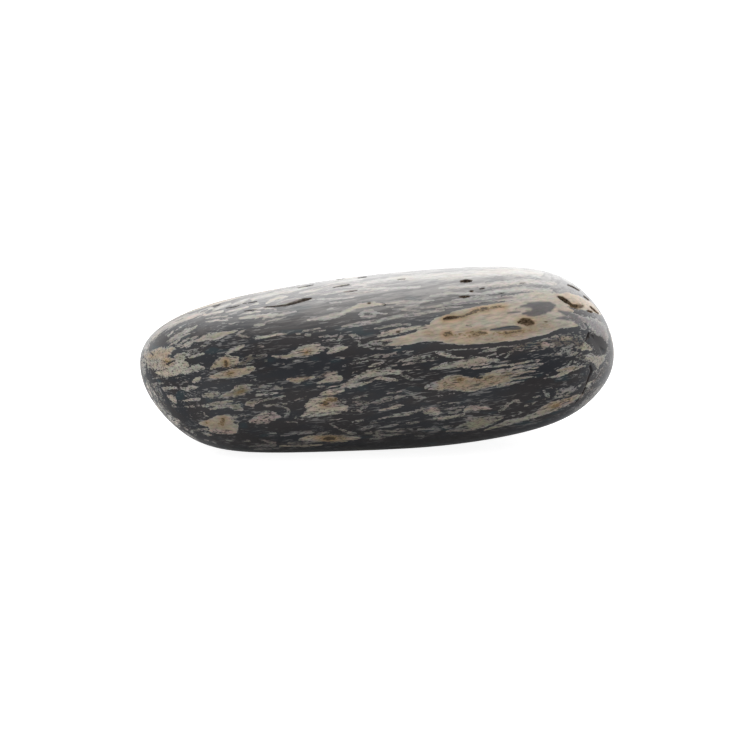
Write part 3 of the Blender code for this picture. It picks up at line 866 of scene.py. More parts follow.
HOLLOWS = (
    # The slot: the brown-black of its inside is painted shade.
    Hollow(((264, 307.2, 0.2), (275, 306.6, 0.4), (285, 305.3, 0.6), (295, 302.6, 0.8), (304, 300, 0.9),
            (311, 298.5, 0.4)), depth=0.6, wall=0.25, stain=0.35),
    *(Hollow(stops, depth=0.25, wall=0.2, stain=0.12) for stops in (
        ((212, 306.7, 0.2), (216, 305.7, 0.3), (220, 304.7, 0.2)),
        ((226, 308.3, 0.2), (233, 307.2, 0.3), (239, 305.7, 0.2)),
        ((243, 303.6, 0.2), (247, 303, 0.2)),
        ((248, 303, 0.2), (253, 302.2, 0.3), (257, 301.5, 0.2)),
        ((244, 311.3, 0.2), (251, 310.3, 0.3), (256, 309.7, 0.2)),
        ((298, 288, 0.2), (305, 286.5, 0.3), (313, 285, 0.2)),
        ((333, 287.5, 0.2), (341, 286, 0.5), (349, 284.7, 0.3)),
        ((344, 292, 0.2), (351, 291.2, 0.4), (357, 290.5, 0.2)),
        ((336, 279.7, 0.2), (344, 278.5, 0.3)),
        ((358, 278, 0.2), (366, 277, 0.3)),
        ((398, 279.5, 0.2), (405, 279, 0.3)),
        ((382, 304.3, 0.2), (385, 305.2, 0.3)),
        ((500, 293.5, 0.2), (504, 293, 0.2)),
        ((520, 283.3, 0.2), (525, 283, 0.2)),
    )),
    Hollow(((558.5, 297, 0.5), (562, 298.5, 1.0), (566.5, 301.5, 1.0), (571, 304.5, 0.5)), depth=1.4,
           wall=0.3, stain=1.0),
    Hollow(((571, 306, 0.8), (576, 307, 1.4), (582, 306.5, 1.0)), depth=0.55, wall=0.6, stain=0.35),
    Hollow(((588, 311, 0.5), (591.5, 312, 0.5)), depth=0.4, wall=0.2, stain=1.0),
    Hollow(((590.5, 307, 0.4), (594, 310, 0.5), (598, 313.5, 0.3)), depth=0.35, wall=0.3, stain=1.0),
    Hollow(((519, 322.5, 0.7), (523, 321.5, 1.7), (528, 322.5, 2.1), (532, 323, 1.2)), depth=0.7, wall=0.5,
           stain=0.85),
    Hollow(((461, 281.5, 0.5), (466, 281, 0.9), (471, 281, 0.5)), depth=0.8, wall=0.25, stain=0.6),
    Hollow(((470.5, 291.3, 0.4), (472.5, 291.3, 0.4)), depth=0.4, wall=0.2, stain=0.9),
    Hollow(((460, 297, 0.3), (464, 297, 0.6), (469, 296.5, 0.3)), depth=0.6, wall=0.2, stain=0.9),
    Hollow(((480, 289, 0.3), (484, 288.5, 0.3)), depth=0.3, wall=0.2, stain=0.4),
    Hollow(((545, 322, 0.3), (547, 322, 0.3)), depth=0.3, wall=0.2, stain=0.5),
    Hollow(((397, 332, 0.6), (399, 332, 0.6)), depth=0.4, wall=0.25, stain=0.6),
    Hollow(((368, 303.3, 0.4), (370, 303.3, 0.4)), depth=0.4, wall=0.2, stain=0.7),
    Hollow(((444, 319, 0.4), (449, 318, 0.8), (456, 317.5, 0.5)), depth=0.4, wall=0.3, stain=0.9),
    Hollow(((568, 285, 0.3), (573, 287, 0.4), (579, 290.5, 0.3)), depth=0.4, wall=0.2, stain=0.5),
    Hollow(((584, 296.5, 0.3), (588.5, 300, 0.3)), depth=0.4, wall=0.2, stain=0.8),
    Hollow(((588.5, 333, 0.5), (588, 337, 0.8), (585.5, 341, 0.5)), depth=0.5, wall=0.3, stain=0.1),
    Hollow(((591, 335, 1.6), (595.5, 340, 4.2), (599, 345, 4.6), (602, 350, 2.4)), depth=0.22, wall=2.4,
           stain=0.0),
    Hollow(((590, 366, 0.7), (591.5, 371, 0.8), (589, 376, 0.5), (587, 382, 0.4), (585, 388, 0.3),
            (581, 396, 0.4), (575, 403, 0.2)), depth=0.35, wall=0.35, stain=0.1),
)


def smooth_step(value: np.ndarray, low: float, high: float) -> np.ndarray:
    """Return 0 below low, 1 above high, and a smooth ramp between them."""
    ramp = np.clip((value - low) / (high - low), 0, 1)
    return ramp * ramp * (3 - 2 * ramp)


@dataclass(frozen=True)
class Sight:
    """How the stone's points show in the portrait.

    Attributes:
        across: how far right they show, in millimetres.
        down: how far down they show.
        seen: how fully marks show on them, from 0 to 1.
    """

    across: np.ndarray
    down: np.ndarray
    seen: np.ndarray

    def beside(self, stops: np.ndarray, reach: float) -> tuple[np.ndarray, np.ndarray, np.ndarray]:
        """Find the points near a chain of round stops.

        Args:
            stops: rows of across, down and half width, in millimetres.
            reach: how far from the chain a point may be.

        Returns:
            The numbers of those points, how far outside the chain each of them is, and the half width of
            the place of the chain that is nearest to it.
        """
        room = reach + stops[:, 2].max()
        low, high = stops[:, :2].min(axis=0) - room, stops[:, :2].max(axis=0) + room
        level = (self.across > low[0]) & (self.across < high[0])
        close = np.flatnonzero(level & (self.down > low[1]) & (self.down < high[1]) & (self.seen > 0))
        across, down = self.across[close], self.down[close]
        best, half = np.full(len(close), np.inf), np.full(len(close), stops[0, 2])
        for (x0, y0, h0), (x1, y1, h1) in zip(stops, stops[1:]):
            run = np.array((x1 - x0, y1 - y0))
            length_squared = max(float(run @ run), TINY)
            along = np.clip(((across - x0) * run[0] + (down - y0) * run[1]) / length_squared, 0, 1)
            width = h0 + (h1 - h0) * along
            apart = np.hypot(across - x0 - along * run[0], down - y0 - along * run[1]) - width
            nearer = apart < best
            best[nearer] = apart[nearer]
            half[nearer] = width[nearer]
        return close, best, half


@dataclass(frozen=True)
class Portrait:
    """The camera in front of the stone. Its frame of columns and rows says where the face's marks are.

    Attributes:
        azimuth, elevation: degrees that it is turned from looking along +Y, and that it looks down.
        lens, sensor: focal length, and width of the sensor.
        distance: how far it is from the middle of the stone's body.
        middle, middle_column, middle_row: that middle, and the column and row where it shows.
        side: columns and rows of the frame.
        clip: nearest and farthest distance that it shows, in metres.
        turned_away: cosines to the camera between which the marks of its frame fade out.
    """

    azimuth: float = -6.0
    elevation: float = 16.0
    lens: float = 100.0
    sensor: float = 36.0
    distance: float = 530.0
    middle: tuple[float, float, float] = (0.42, -0.235, 17.92)
    middle_column: float = 381.47
    middle_row: float = 369.34
    side: int = 750
    clip: Span = (0.01, 50.0)
    turned_away: Span = (0.06, 0.16)

    def axes(self) -> np.ndarray:
        """Work out which way the camera looks.

        Returns:
            The unit vectors to the right, up, and from the stone to the camera, as rows.
        """
        turn, tip = math.radians(self.azimuth), math.radians(self.elevation)
        back = np.array((math.sin(turn) * math.cos(tip), -math.cos(turn) * math.cos(tip), math.sin(tip)))
        right = np.array((math.cos(turn), math.sin(turn), 0.0))
        return np.array((right, np.cross(back, right), back))

    def pixel(self) -> float:
        """Return the size of a pixel at the stone, in millimetres."""
        return self.sensor / self.lens * self.distance / self.side

    def eye(self) -> np.ndarray:
        """Work out where the camera stands, so that the stone's middle shows at its column and row.

        Returns:
            The camera's place in millimetres.
        """
        right, up, back = self.axes()
        aside = (self.side / 2 - self.middle_column) * self.pixel()
        above = (self.middle_row - self.side / 2) * self.pixel()
        return np.array(self.middle) + aside * right + above * up + self.distance * back

    def sight(self, points: np.ndarray, normals: np.ndarray) -> Sight:
        """Find where points show in the frame, and how fully.

        Args:
            points: places in millimetres, one in each row.
            normals: the surface's normals there.

        Returns:
            How they show.
        """
        right, up, back = self.axes()
        rays = points - self.eye()
        scale = self.lens / self.sensor * self.side / -(rays @ back)
        column, row = self.side / 2 + rays @ right * scale, self.side / 2 - rays @ up * scale
        seen = smooth_step(self.facing(points, normals), *self.turned_away)
        return Sight(column * self.pixel(), row * self.pixel(), seen)

    def facing(self, points: np.ndarray, normals: np.ndarray) -> np.ndarray:
        """Return the cosine between each normal and the way to the camera."""
        rays = self.eye() - points
        return np.einsum("ij,ij->i", normals, rays) / np.linalg.norm(rays, axis=1)

    def build(self) -> None:
        """Add the camera and make it the scene's."""
        data = bpy.data.cameras.new("portrait camera")
        data.lens = self.lens
        data.sensor_width = self.sensor
        data.clip_start, data.clip_end = self.clip
        camera = bpy.data.objects.new("portrait camera", data)
        camera.location = Vector(self.eye() * MM)
        camera.rotation_euler = (math.radians(90 - self.elevation), 0.0, math.radians(self.azimuth))
        bpy.context.scene.collection.objects.link(camera)
        bpy.context.scene.camera = camera


@dataclass(frozen=True)
class Grain:
    """The direction that the stone's streaks lie along.

    Attributes:
        rise: degrees that it rises towards the heel.
        turn: degrees that it turns towards the back there.
    """

    rise: float = 6.0
    turn: float = 6.0

    def along(self) -> np.ndarray:
        """Return the unit vector along the streaks."""
        rise, turn = math.radians(self.rise), math.radians(self.turn)
        return np.array((math.cos(rise) * math.cos(turn), math.cos(rise) * math.sin(turn), math.sin(rise)))

    def rotation(self) -> tuple[float, float, float]:
        """Return the turn that a Mapping node needs to lay a pattern's X along the streaks."""
        return (0.0, -math.radians(self.rise), math.radians(self.turn))


@dataclass(frozen=True)
class StrayStreaks:
    """Seeded lens-shaped streaks for the sides that the portrait doesn't show.

    Attributes:
        seed: seed of the random draws.
        clusters, members: how many clusters there are, and the fewest and most streaks in one.
        spread_along, spread_across: how far a cluster spreads along and across the grain.
        log_length: mean and spread of the logarithm of a streak's half length.
        slimness: least and greatest half width, as a share of the half length.
        widest: the greatest half width.
        lean: how far streaks lean from the grain, as a slope.
        reach: how far from its middle a cluster is drawn.
        same_side: cosine between two normals above which they count as one side of the stone.
        end_grain: length of the grain's part along the surface below which streaks run level instead.
        fine_weight: how likely a point of the finer mesh is to be the middle of a cluster, beside another.
        pushed_off: how far away a streak seems to be where the portrait shows the stone well.
        tints: the tints drawn from, some of them twice.
    """

    seed: int = 11
    clusters: int = 135
    members: tuple[int, int] = (3, 9)
    spread_along: float = 6.0
    spread_across: float = 1.8
    log_length: Span = (1.15, 0.5)
    slimness: Span = (0.08, 0.26)
    widest: float = 2.2
    lean: float = 0.06
    reach: float = 22.0
    same_side: float = 0.2
    end_grain: float = 0.6
    fine_weight: float = 0.25
    pushed_off: float = 6.0
    tints: tuple[Tint, ...] = (Tint.CREAM, Tint.CREAM, Tint.TAN, Tint.PINK, Tint.GREY, Tint.GREY, Tint.OLIVE)


@dataclass(frozen=True)
class Polish:
    """Where the river's polish is dull: on top of the nose, low on the heel, and round the nose's end.

    Attributes:
        nose, heel: places along X between which the nose ends, and between which the heel begins.
        nose_loss, nose_up: how much of the polish the top of the nose lacks, and the upward parts of a normal
            between which that sets in.
        heel_loss, heel_up: how much of it the lower heel lacks, and the upward parts between which that ends.
        end_loss, end_out, end_up: how much of it the nose's end lacks, the parts of a normal along -X between
            which that sets in, and the upward parts between which it ends.
    """

    nose: Span = (-54.0, 2.0)
    nose_loss: float = 0.80
    nose_up: Span = (0.45, 0.90)
    heel: Span = (4.0, 54.0)
    heel_loss: float = 0.50
    heel_up: Span = (0.35, 0.70)
    end_loss: float = 0.80
    end_out: Span = (0.25, 0.75)
    end_up: Span = (0.20, 0.60)

    def nose_share(self, points: np.ndarray) -> np.ndarray:
        """Return how far each point belongs to the nose, from 0 to 1."""
        return 1 - smooth_step(points[:, 0], *self.nose)

    def left(self, points: np.ndarray, normals: np.ndarray) -> np.ndarray:
        """Work out how much of the polish is left.

        Args:
            points: the stone's points in millimetres.
            normals: their normals.

        Returns:
            A value from 0 to 1 for each point.
        """
        up, out = normals[:, 2], -normals[:, 0]
        nose = self.nose_loss * self.nose_share(points) * smooth_step(up, *self.nose_up)
        heel = self.heel_loss * smooth_step(points[:, 0], *self.heel) * (1 - smooth_step(up, *self.heel_up))
        end = self.end_loss * smooth_step(out, *self.end_out) * (1 - smooth_step(up, *self.end_up))
        return 1 - nose - heel - end


@dataclass
class FaceFields:
    """What the stone's points carry for the finish to read.

    Attributes:
        streak: how far a point is outside the nearest streak, in widths of that streak's frayed edge.
        dark: the same for the streaks that stay dark.
        stain: how brown it is, from 0 to 1.
        pit: how deep it lies in a hollow, from 0 to 1, times how brown the hollow is; partly painted shade.
        warm: how much the halo of a stain warms the streaks, from 0 to 1.
        painted_sheen: how far it looks up, from 0 to 1, and so how strong the painted sheen on top is.
        gloss: how much of the river's polish is left, from 0 to 1.
        worn: how smoothly the crown is worn, from 0 to 1.
        body: how fully the streaks there cover the ground, from 0 to 1.
        tint: colour of the streaks there.
    """

    streak: np.ndarray
    dark: np.ndarray
    stain: np.ndarray
    pit: np.ndarray
    warm: np.ndarray
    painted_sheen: np.ndarray
    gloss: np.ndarray
    worn: np.ndarray
    body: np.ndarray
    tint: np.ndarray

    def store(self, mesh: bpy.types.Mesh) -> None:
        """Store each field on the mesh's points as an attribute of its name.

        Args:
            mesh: the stone's mesh, with as many points as the fields have values.
        """
        for item in fields(self):
            values = getattr(self, item.name)
            if item.name == "tint":
                attribute = mesh.attributes.new(item.name, "FLOAT_COLOR", "POINT")
                rgba = np.ones((len(values), 4), np.float32)
                rgba[:, :3] = values
                attribute.data.foreach_set("color", rgba.ravel())
            else:
                attribute = mesh.attributes.new(item.name, "FLOAT", "POINT")
                attribute.data.foreach_set("value", np.clip(values, -FAR, FAR).astype(np.float32))


@dataclass(frozen=True)
class MarkPainter:
    """Turns the lists of marks into fields on the stone's points.

    Attributes:
        portrait, grain, strays: the camera, the direction of the streaks, and those of the other sides.
        polish: where the stone is polished.
        reach: how far from a mark its field is worked out, in millimetres.
        filled: cosines to the camera between which the seeded streaks fade in.
        fine_side: cosine to the camera from which the mesh has four times as many points.
        tip, tip_width: length of the point at a streak's end, in half widths, and its own half width.
        edge_least, edge_growth, edge_most: width of the thinnest streak's frayed edge, how much wider it is
            for each millimetre of half width, and the most that it may be.
        tint_spread, slate_spread, tint_inside: how far outside a streak its tint reaches, how far slate does,
            and how far inside the tint is full.
        stain_core, stain_halo, pit_edge: depths inside a stain or a hollow between which the brown, the halo
            and the dirt set in.
        pit_dulls: how much of the polish and of the painted sheen a hollow takes.
            veiled, worn_up: upward parts of a normal between which the painted sheen and the wear set in.
        nose_unveiled: how much of the painted sheen the nose lacks.
    """

    portrait: Portrait
    grain: Grain = Grain()
    strays: StrayStreaks = StrayStreaks()
    polish: Polish = Polish()
    reach: float = 3.0
    filled: Span = (0.12, 0.32)
    fine_side: float = 0.12
    tip: float = 1.4
    tip_width: float = 0.02
    edge_least: float = 0.10
    edge_growth: float = 0.28
    edge_most: float = 0.40
    tint_spread: float = 0.7
    slate_spread: float = 0.3
    tint_inside: float = 0.1
    stain_core: Span = (-0.35, 0.15)
    stain_halo: Span = (-1.6, 0.0)
    pit_edge: Span = (-0.25, 0.15)
    pit_dulls: float = 0.75
    veiled: Span = (0.64, 0.95)
    nose_unveiled: float = 0.8
    worn_up: Span = (0.60, 0.88)

    def edge_width(self, half: np.ndarray, fray: float) -> np.ndarray:
        """Return how wide the frayed edge is beside a streak of that half width, in millimetres."""
        return fray * np.minimum(self.edge_least + self.edge_growth * half, self.edge_most)

    def spread(self, points: np.ndarray, normals: np.ndarray) -> FaceFields:
        """Work out every field.

        Args:
            points: the stone's points in millimetres.
            normals: their normals.

        Returns:
            The fields, one value for each point.
        """
        count = len(points)
        up = normals[:, 2]
        face = FaceFields(
            streak=np.full(count, FAR),
            dark=np.full(count, FAR),
            stain=np.zeros(count),
            pit=np.zeros(count),
            warm=np.zeros(count),
            # A painted sheen: a pale veil on what looks up, standing in for the light from above, less on the
            # nose.
            painted_sheen=smooth_step(up, *self.veiled) * (1 - self.nose_unveiled * self.polish.nose_share(points)),
            gloss=self.polish.left(points, normals),
            worn=smooth_step(up, *self.worn_up),
            body=np.full(count, TINT_BODY[Tint.GREY]),
            tint=np.tile(TINT_COLOURS[Tint.GREY], (count, 1)),
        )
        sight = self.portrait.sight(points, normals)
        self.paint_streaks(face, sight)
        self.paint_spots(face, sight)
        self.paint_strays(face, points, normals)
        return face

    def paint_streaks(self, face: FaceFields, sight: Sight) -> None:
        """Add the streaks that the portrait shows.

        Args:
            face: the fields.
            sight: how the points show.
        """
        for streak in FACE:
            close, apart, half = sight.beside(self.with_tips(self.in_millimetres(streak.stops)), self.reach)
            hidden = (1 - sight.seen[close]) * FAR
            edge = apart / self.edge_width(half, streak.fray) + hidden
            self.add(face, close, streak.tint, streak.shade, apart + hidden, edge)

    def paint_spots(self, face: FaceFields, sight: Sight) -> None:
        """Add the stains and their halos, and the hollows, which are dull and lose the painted sheen.
        The hollows' brown is partly dirt and partly painted shade.

        Args:
            face: the fields.
            sight: how the points show.
        """
        for stain in STAINS:
            close, apart, _ = sight.beside(self.in_millimetres(stain.stops), self.reach)
            strength = stain.strength * sight.seen[close]
            core = strength * smooth_step(-apart, *self.stain_core)
            halo = strength * smooth_step(-apart, *self.stain_halo)
            face.stain[close] = np.maximum(face.stain[close], core)
            face.warm[close] = np.maximum(face.warm[close], halo)
        # The hollows: brown inside, partly dirt and partly painted shade, and duller, with less painted
        # sheen.
        for hollow in HOLLOWS:
            close, apart, _ = sight.beside(self.in_millimetres(hollow.stops), self.reach)
            inside = smooth_step(-apart, *self.pit_edge) * sight.seen[close]
            face.pit[close] = np.maximum(face.pit[close], hollow.stain * inside)
            face.gloss[close] = np.minimum(face.gloss[close], 1 - self.pit_dulls * inside)
            face.painted_sheen[close] *= 1 - self.pit_dulls * inside

    def add(self, face: FaceFields, close: np.ndarray, tint: Tint, shade: float, apart: np.ndarray,
            edge: np.ndarray) -> None:
        """Merge one streak into the fields. A dark one takes away from the others instead.

        Args:
            face: the fields.
            close: the numbers of the points near the streak.
            tint: the streak's finish.
            shade: how light it is beside other streaks of its tint.
            apart: how far outside the streak each of those points is, in millimetres.
            edge: the same in widths of the streak's frayed edge.
        """
        if tint is Tint.DARK:
            face.dark[close] = np.minimum(face.dark[close], edge)
            return
        face.streak[close] = np.minimum(face.streak[close], edge)
        spread = self.slate_spread if tint is Tint.SLATE else self.tint_spread
        share = smooth_step(-apart, -spread, self.tint_inside)
        face.tint[close] += share[:, None] * (shade * np.array(TINT_COLOURS[tint]) - face.tint[close])
        face.body[close] += share * (TINT_BODY[tint] - face.body[close])

    def in_millimetres(self, stops: Chain) -> np.ndarray:
        """Return stops as rows of across, down and half width in millimetres."""
        pixel = self.portrait.pixel()
        return np.array([(column * pixel, row * pixel, width / 2) for column, row, width in stops])

    def with_tips(self, stops: np.ndarray) -> np.ndarray:
        """Draw a chain out to a point along the grain at each end, unless it stands upright.

        Args:
            stops: rows of across, down and half width in millimetres.

        Returns:
            The stops with a tip before the first and a tip after the last.
        """
        run = stops[-1, :2] - stops[0, :2]
        if abs(run[1]) > abs(run[0]):
            return stops
        slope = math.radians(self.grain.rise)
        outward = math.copysign(1.0, run[0]) * np.array((math.cos(slope), -math.sin(slope)))
        first = stops[0, :2] - self.tip * stops[0, 2] * outward
        last = stops[-1, :2] + self.tip * stops[-1, 2] * outward
        return np.vstack(((*first, self.tip_width), stops, (*last, self.tip_width)))

    def run(self, normal: np.ndarray) -> np.ndarray:
        """Work out which way a streak runs on the surface.

        Args:
            normal: the surface's normal there.

        Returns:
            The unit vector along the grain, or a level one where the grain meets the surface head on.
        """
        along = self.grain.along()
        run = along - normal * float(along @ normal)
        if np.linalg.norm(run) < self.strays.end_grain:
            run = np.cross(normal, (0.0, 0.0, 1.0))
        return run / np.linalg.norm(run)

    def paint_strays(self, face: FaceFields, points: np.ndarray, normals: np.ndarray) -> None:
        """Scatter the seeded clusters over the points that the portrait doesn't show well.

        Args:
            face: the fields.
            points: the stone's points in millimetres.
            normals: their normals.
        """
        facing = self.portrait.facing(points, normals)
        shown = smooth_step(facing, *self.filled)
        open_points = np.flatnonzero(shown < 1)
        weights = np.where(facing[open_points] > self.fine_side, self.strays.fine_weight, 1.0)
        weights /= weights.sum()
        rng = np.random.default_rng(self.strays.seed)
        for _ in range(self.strays.clusters):
            centre = int(rng.choice(open_points, p=weights))
            normal = normals[centre]
            run = self.run(normal)
            side = np.cross(normal, run)
            offset = points - points[centre]
            close = np.einsum("ij,ij->i", offset, offset) < self.strays.reach**2
            close = np.flatnonzero(close & (normals @ normal > self.strays.same_side) & (shown < 1))
            place = offset[close] @ run, offset[close] @ side
            self.paint_cluster(face, rng, close, place, self.strays.pushed_off * shown[close])

    def paint_cluster(self, face: FaceFields, rng: np.random.Generator, close: np.ndarray,
                      place: tuple[np.ndarray, np.ndarray], pushed_off: np.ndarray) -> None:
        """Draw one cluster of lens-shaped streaks.

        Args:
            face: the fields.
            rng: where the random draws come from.
            close: the points near the cluster.
            place: how far each of them is from the cluster's middle, along the streaks and across them.
            pushed_off: how much farther each of them is taken to be, so that the streaks fade there.
        """
        strays = self.strays
        for _ in range(int(rng.integers(strays.members[0], strays.members[1] + 1))):
            half_length = float(np.exp(rng.normal(*strays.log_length)))
            half_width = min(half_length * float(rng.uniform(*strays.slimness)), strays.widest)
            along = place[0] - float(rng.normal(0, strays.spread_along))
            across = place[1] - float(rng.normal(0, strays.spread_across))
            across = across - float(rng.normal(0, strays.lean)) * along
            tint = strays.tints[int(rng.integers(len(strays.tints)))]
            width = half_width * (1 - np.clip(np.abs(along) / half_length, 0, 1) ** 2)
            beyond, aside = np.abs(along) - half_length, np.abs(across) - width
            apart = np.hypot(np.maximum(beyond, 0), np.maximum(aside, 0))
            apart = np.where(apart > 0, apart, aside) + pushed_off
            self.add(face, close, tint, 1.0, apart, apart / self.edge_width(width, 1.0))


class NodeBoard:
    """The node tree of a material or of the room, with short calls for the nodes that it is made of."""

    def __init__(self, owner: bpy.types.Material | bpy.types.World) -> None:
        """Clear the tree and keep it.

        Args:
            owner: the material or the world that the tree belongs to.
        """
        owner.use_nodes = True
        self.tree = owner.node_tree
        self.tree.nodes.clear()

    def node(self, kind: str, sources: Sources | None = None, **settings: object) -> bpy.types.Node:
        """Add a node.

        Args:
            kind: its type.
            sources: what feeds its inputs, by their names or places.
            settings: its properties by name.

        Returns:
            The node.
        """
        node = self.tree.nodes.new(kind)
        for name, value in settings.items():
            setattr(node, name, value)
        for name, source in (sources or {}).items():
            self.feed(node.inputs[name], source)
        return node

    def feed(self, socket: Socket, source: Source) -> None:
        """Link the source to the socket, or set the socket to it when it is a number or a colour.

        Args:
            socket: an input of a node.
            source: an output of another node, a number, or a colour.
        """
        if isinstance(source, Socket):
            self.tree.links.new(source, socket)
        elif isinstance(source, tuple) and len(source) < len(socket.default_value):
            socket.default_value = (*source, 1.0)
        else:
            socket.default_value = source

    def math(self, operation: str, first: Source, second: Source) -> Socket:
        """Return the result of a Math node with two values."""
        return self.node("ShaderNodeMath", {0: first, 1: second}, operation=operation).outputs[0]

    def plus(self, first: Source, second: Source) -> Socket:
        """Return the sum of two values."""
        return self.math("ADD", first, second)

    def minus(self, first: Source, second: Source) -> Socket:
        """Return the first value less the second."""
        return self.math("SUBTRACT", first, second)

    def times(self, first: Source, second: Source) -> Socket:
        """Return the product of two values."""
        return self.math("MULTIPLY", first, second)

    def ramp(self, value: Source, span: Span, levels: Span = (0.0, 1.0)) -> Socket:
        """Return a smooth ramp from one level to the other as the value crosses the span."""
        sources = dict(zip(RAMP_SOCKETS, (value, *span, *levels)))
        return self.node("ShaderNodeMapRange", sources, interpolation_type="SMOOTHSTEP").outputs["Result"]

    def mix(self, factor: Source, first: Source, second: Source, blend: str = "MIX") -> Socket:
        """Return the second colour laid on the first, as fully as the factor says."""
        sources = {"Factor": factor, MIX_FIRST: first, MIX_SECOND: second}
        return self.node("ShaderNodeMix", sources, data_type="RGBA", blend_type=blend).outputs[MIX_RESULT]

    def finish(self, kind: str, surface: Socket) -> None:
        """Add the output node of that kind and link the surface to it."""
        self.node(kind, {"Surface": surface})


@dataclass(frozen=True)
class Noise:
    """A noise that is stretched along the grain of the stone.

    Attributes:
        length, depth, height: size of its patches along the grain, from front to back, and upwards.
        detail, roughness: how many finer noises lie over it, and how strong they are.
        shift: how far it is moved, so that no two noises lie alike.
        span, levels: its values between which its patches set in, and how strong they are there.
    """

    length: float
    depth: float
    height: float
    detail: float = 2.0
    shift: float = 0.0
    span: Span = (0.40, 0.60)
    levels: Span = (0.0, 1.0)
    roughness: float = 0.6


class StoneBoard(NodeBoard):
    """The node tree of the stone's material, which knows the stone's grain and fields."""

    def __init__(self, material: bpy.types.Material, grain: Grain) -> None:
        """Clear the material's tree and keep the grain.

        Args:
            material: the stone's material.
            grain: the direction of its streaks.
        """
        super().__init__(material)
        self.grain = grain
        self.fields: dict[str, Socket] = {}
        self.noises: dict[Noise, Socket] = {}

    def field(self, name: str) -> Socket:
        """Read a field that is stored on the stone's points.

        Args:
            name: the field's name.

        Returns:
            Its value, or its colour if it is the tint. The node is made once.
        """
        if name not in self.fields:
            node = self.node("ShaderNodeAttribute", attribute_name=name)
            self.fields[name] = node.outputs["Color" if name == "tint" else "Fac"]
        return self.fields[name]

    def noise(self, noise: Noise) -> Socket:
        """Lay a noise along the grain.

        Args:
            noise: its sizes.

        Returns:
            Its value. The nodes are made once.
        """
        if noise not in self.noises:
            mapping = self.node("ShaderNodeMapping", {
                "Vector": self.node("ShaderNodeTexCoord").outputs["Object"],
                "Location": (noise.shift * MM,) * 3,
                "Rotation": self.grain.rotation(),
                "Scale": (noise.length * MM, noise.depth * MM, noise.height * MM),
            }, vector_type="TEXTURE")
            self.noises[noise] = self.node("ShaderNodeTexNoise", {
                "Vector": mapping.outputs["Vector"],
                "Scale": 1.0,
                "Detail": noise.detail,
                "Roughness": noise.roughness,
            }).outputs["Fac"]
        return self.noises[noise]

    def patches(self, noise: Noise) -> Socket:
        """Return how strong a noise's patches are."""
        return self.ramp(self.noise(noise), noise.span, noise.levels)

    def swing(self, noise: Noise, amount: float) -> Socket:
        """Return a noise as a swing of that amount about zero."""
        return self.times(self.minus(self.noise(noise), 0.5), amount)


@dataclass(frozen=True)
class Fray:
    """How the edges of the streaks fray, in widths of the edge.

    Attributes:
        teeth: noises of the edge's long, short and finest teeth.
        swings: how far each of them swings the edge.
        dark_share: how much of that a dark streak's edge swings.
        streak_edge: depths inside a streak's edge between which the streak sets in.
        dark_edge: distances outside a dark streak's edge between which it ends.
    """

    teeth: tuple[Noise, Noise, Noise] = (Noise(5.0, 1.2, 0.42), Noise(2.2, 0.6, 0.32, shift=37.0),
                                         Noise(1.1, 0.5, 0.27, detail=1.0, shift=71.0))
    swings: tuple[float, float, float] = (2.7, 3.2, 2.4)
    dark_share: float = 0.5
    streak_edge: Span = (-0.05, 0.40)
    dark_edge: Span = (-0.2, 0.3)

    def build(self, board: StoneBoard) -> tuple[Socket, Socket]:
        """Lay the frayed edges.

        Args:
            board: the stone's node tree.

        Returns:
            The depth inside a streak, and the distance outside a dark one.
        """
        long, short, fine = (board.swing(noise, swing) for noise, swing in zip(self.teeth, self.swings))
        ragged = board.plus(board.plus(long, short), fine)
        inward = board.times(board.plus(board.field("streak"), ragged), -1.0)
        return inward, board.plus(board.field("dark"), board.times(ragged, self.dark_share))


@dataclass(frozen=True)
class Speckle:
    """The ground that shows through the streaks: cracks, specks and grit.

    Attributes:
        crack, speck, grit: noises of the cracks, of the specks and of the grit.
        thin_body, thin_levels: fullness between which a streak loses its specks, and how many it has.
        worn_smooth: how much of the specks the worn crown loses.
        crack_least: how open a crack is in the fullest streaks.
        grit_body, grit_bound: fullness between which the grit gets rarer, and the bound that it has to pass.
        grit_edge: how far past the bound it sets in.
    """

    crack: Noise = Noise(3.0, 0.6, 0.30, shift=19.0, span=(0.56, 0.66))
    speck: Noise = Noise(0.60, 0.45, 0.30, detail=1.0, shift=11.0, span=(0.60, 0.70))
    grit: Noise = Noise(1.5, 0.8, 0.5, shift=101.0)
    thin_body: Span = (0.86, 1.0)
    thin_levels: Span = (1.0, 0.10)
    worn_smooth: float = 0.8
    crack_least: float = 0.15
    grit_body: Span = (0.40, 1.0)
    grit_bound: Span = (0.46, 0.60)
    grit_edge: Span = (0.0, 0.07)

    def build(self, board: StoneBoard) -> Socket:
        """Lay the specks.

        Args:
            board: the stone's node tree.

        Returns:
            How solid a streak is, from 0 to 1.
        """
        rough = board.minus(1.0, board.times(board.field("worn"), self.worn_smooth))
        thin = board.times(board.ramp(board.field("body"), self.thin_body, self.thin_levels), rough)
        cracks = board.times(board.patches(self.crack), board.plus(thin, self.crack_least))
        bound = board.ramp(board.field("body"), self.grit_body, self.grit_bound)
        grit = board.ramp(board.minus(board.noise(self.grit), bound), self.grit_edge)
        dots = board.times(board.math("MAXIMUM", grit, board.patches(self.speck)), thin)
        return board.times(board.minus(1.0, cracks), board.minus(1.0, dots))


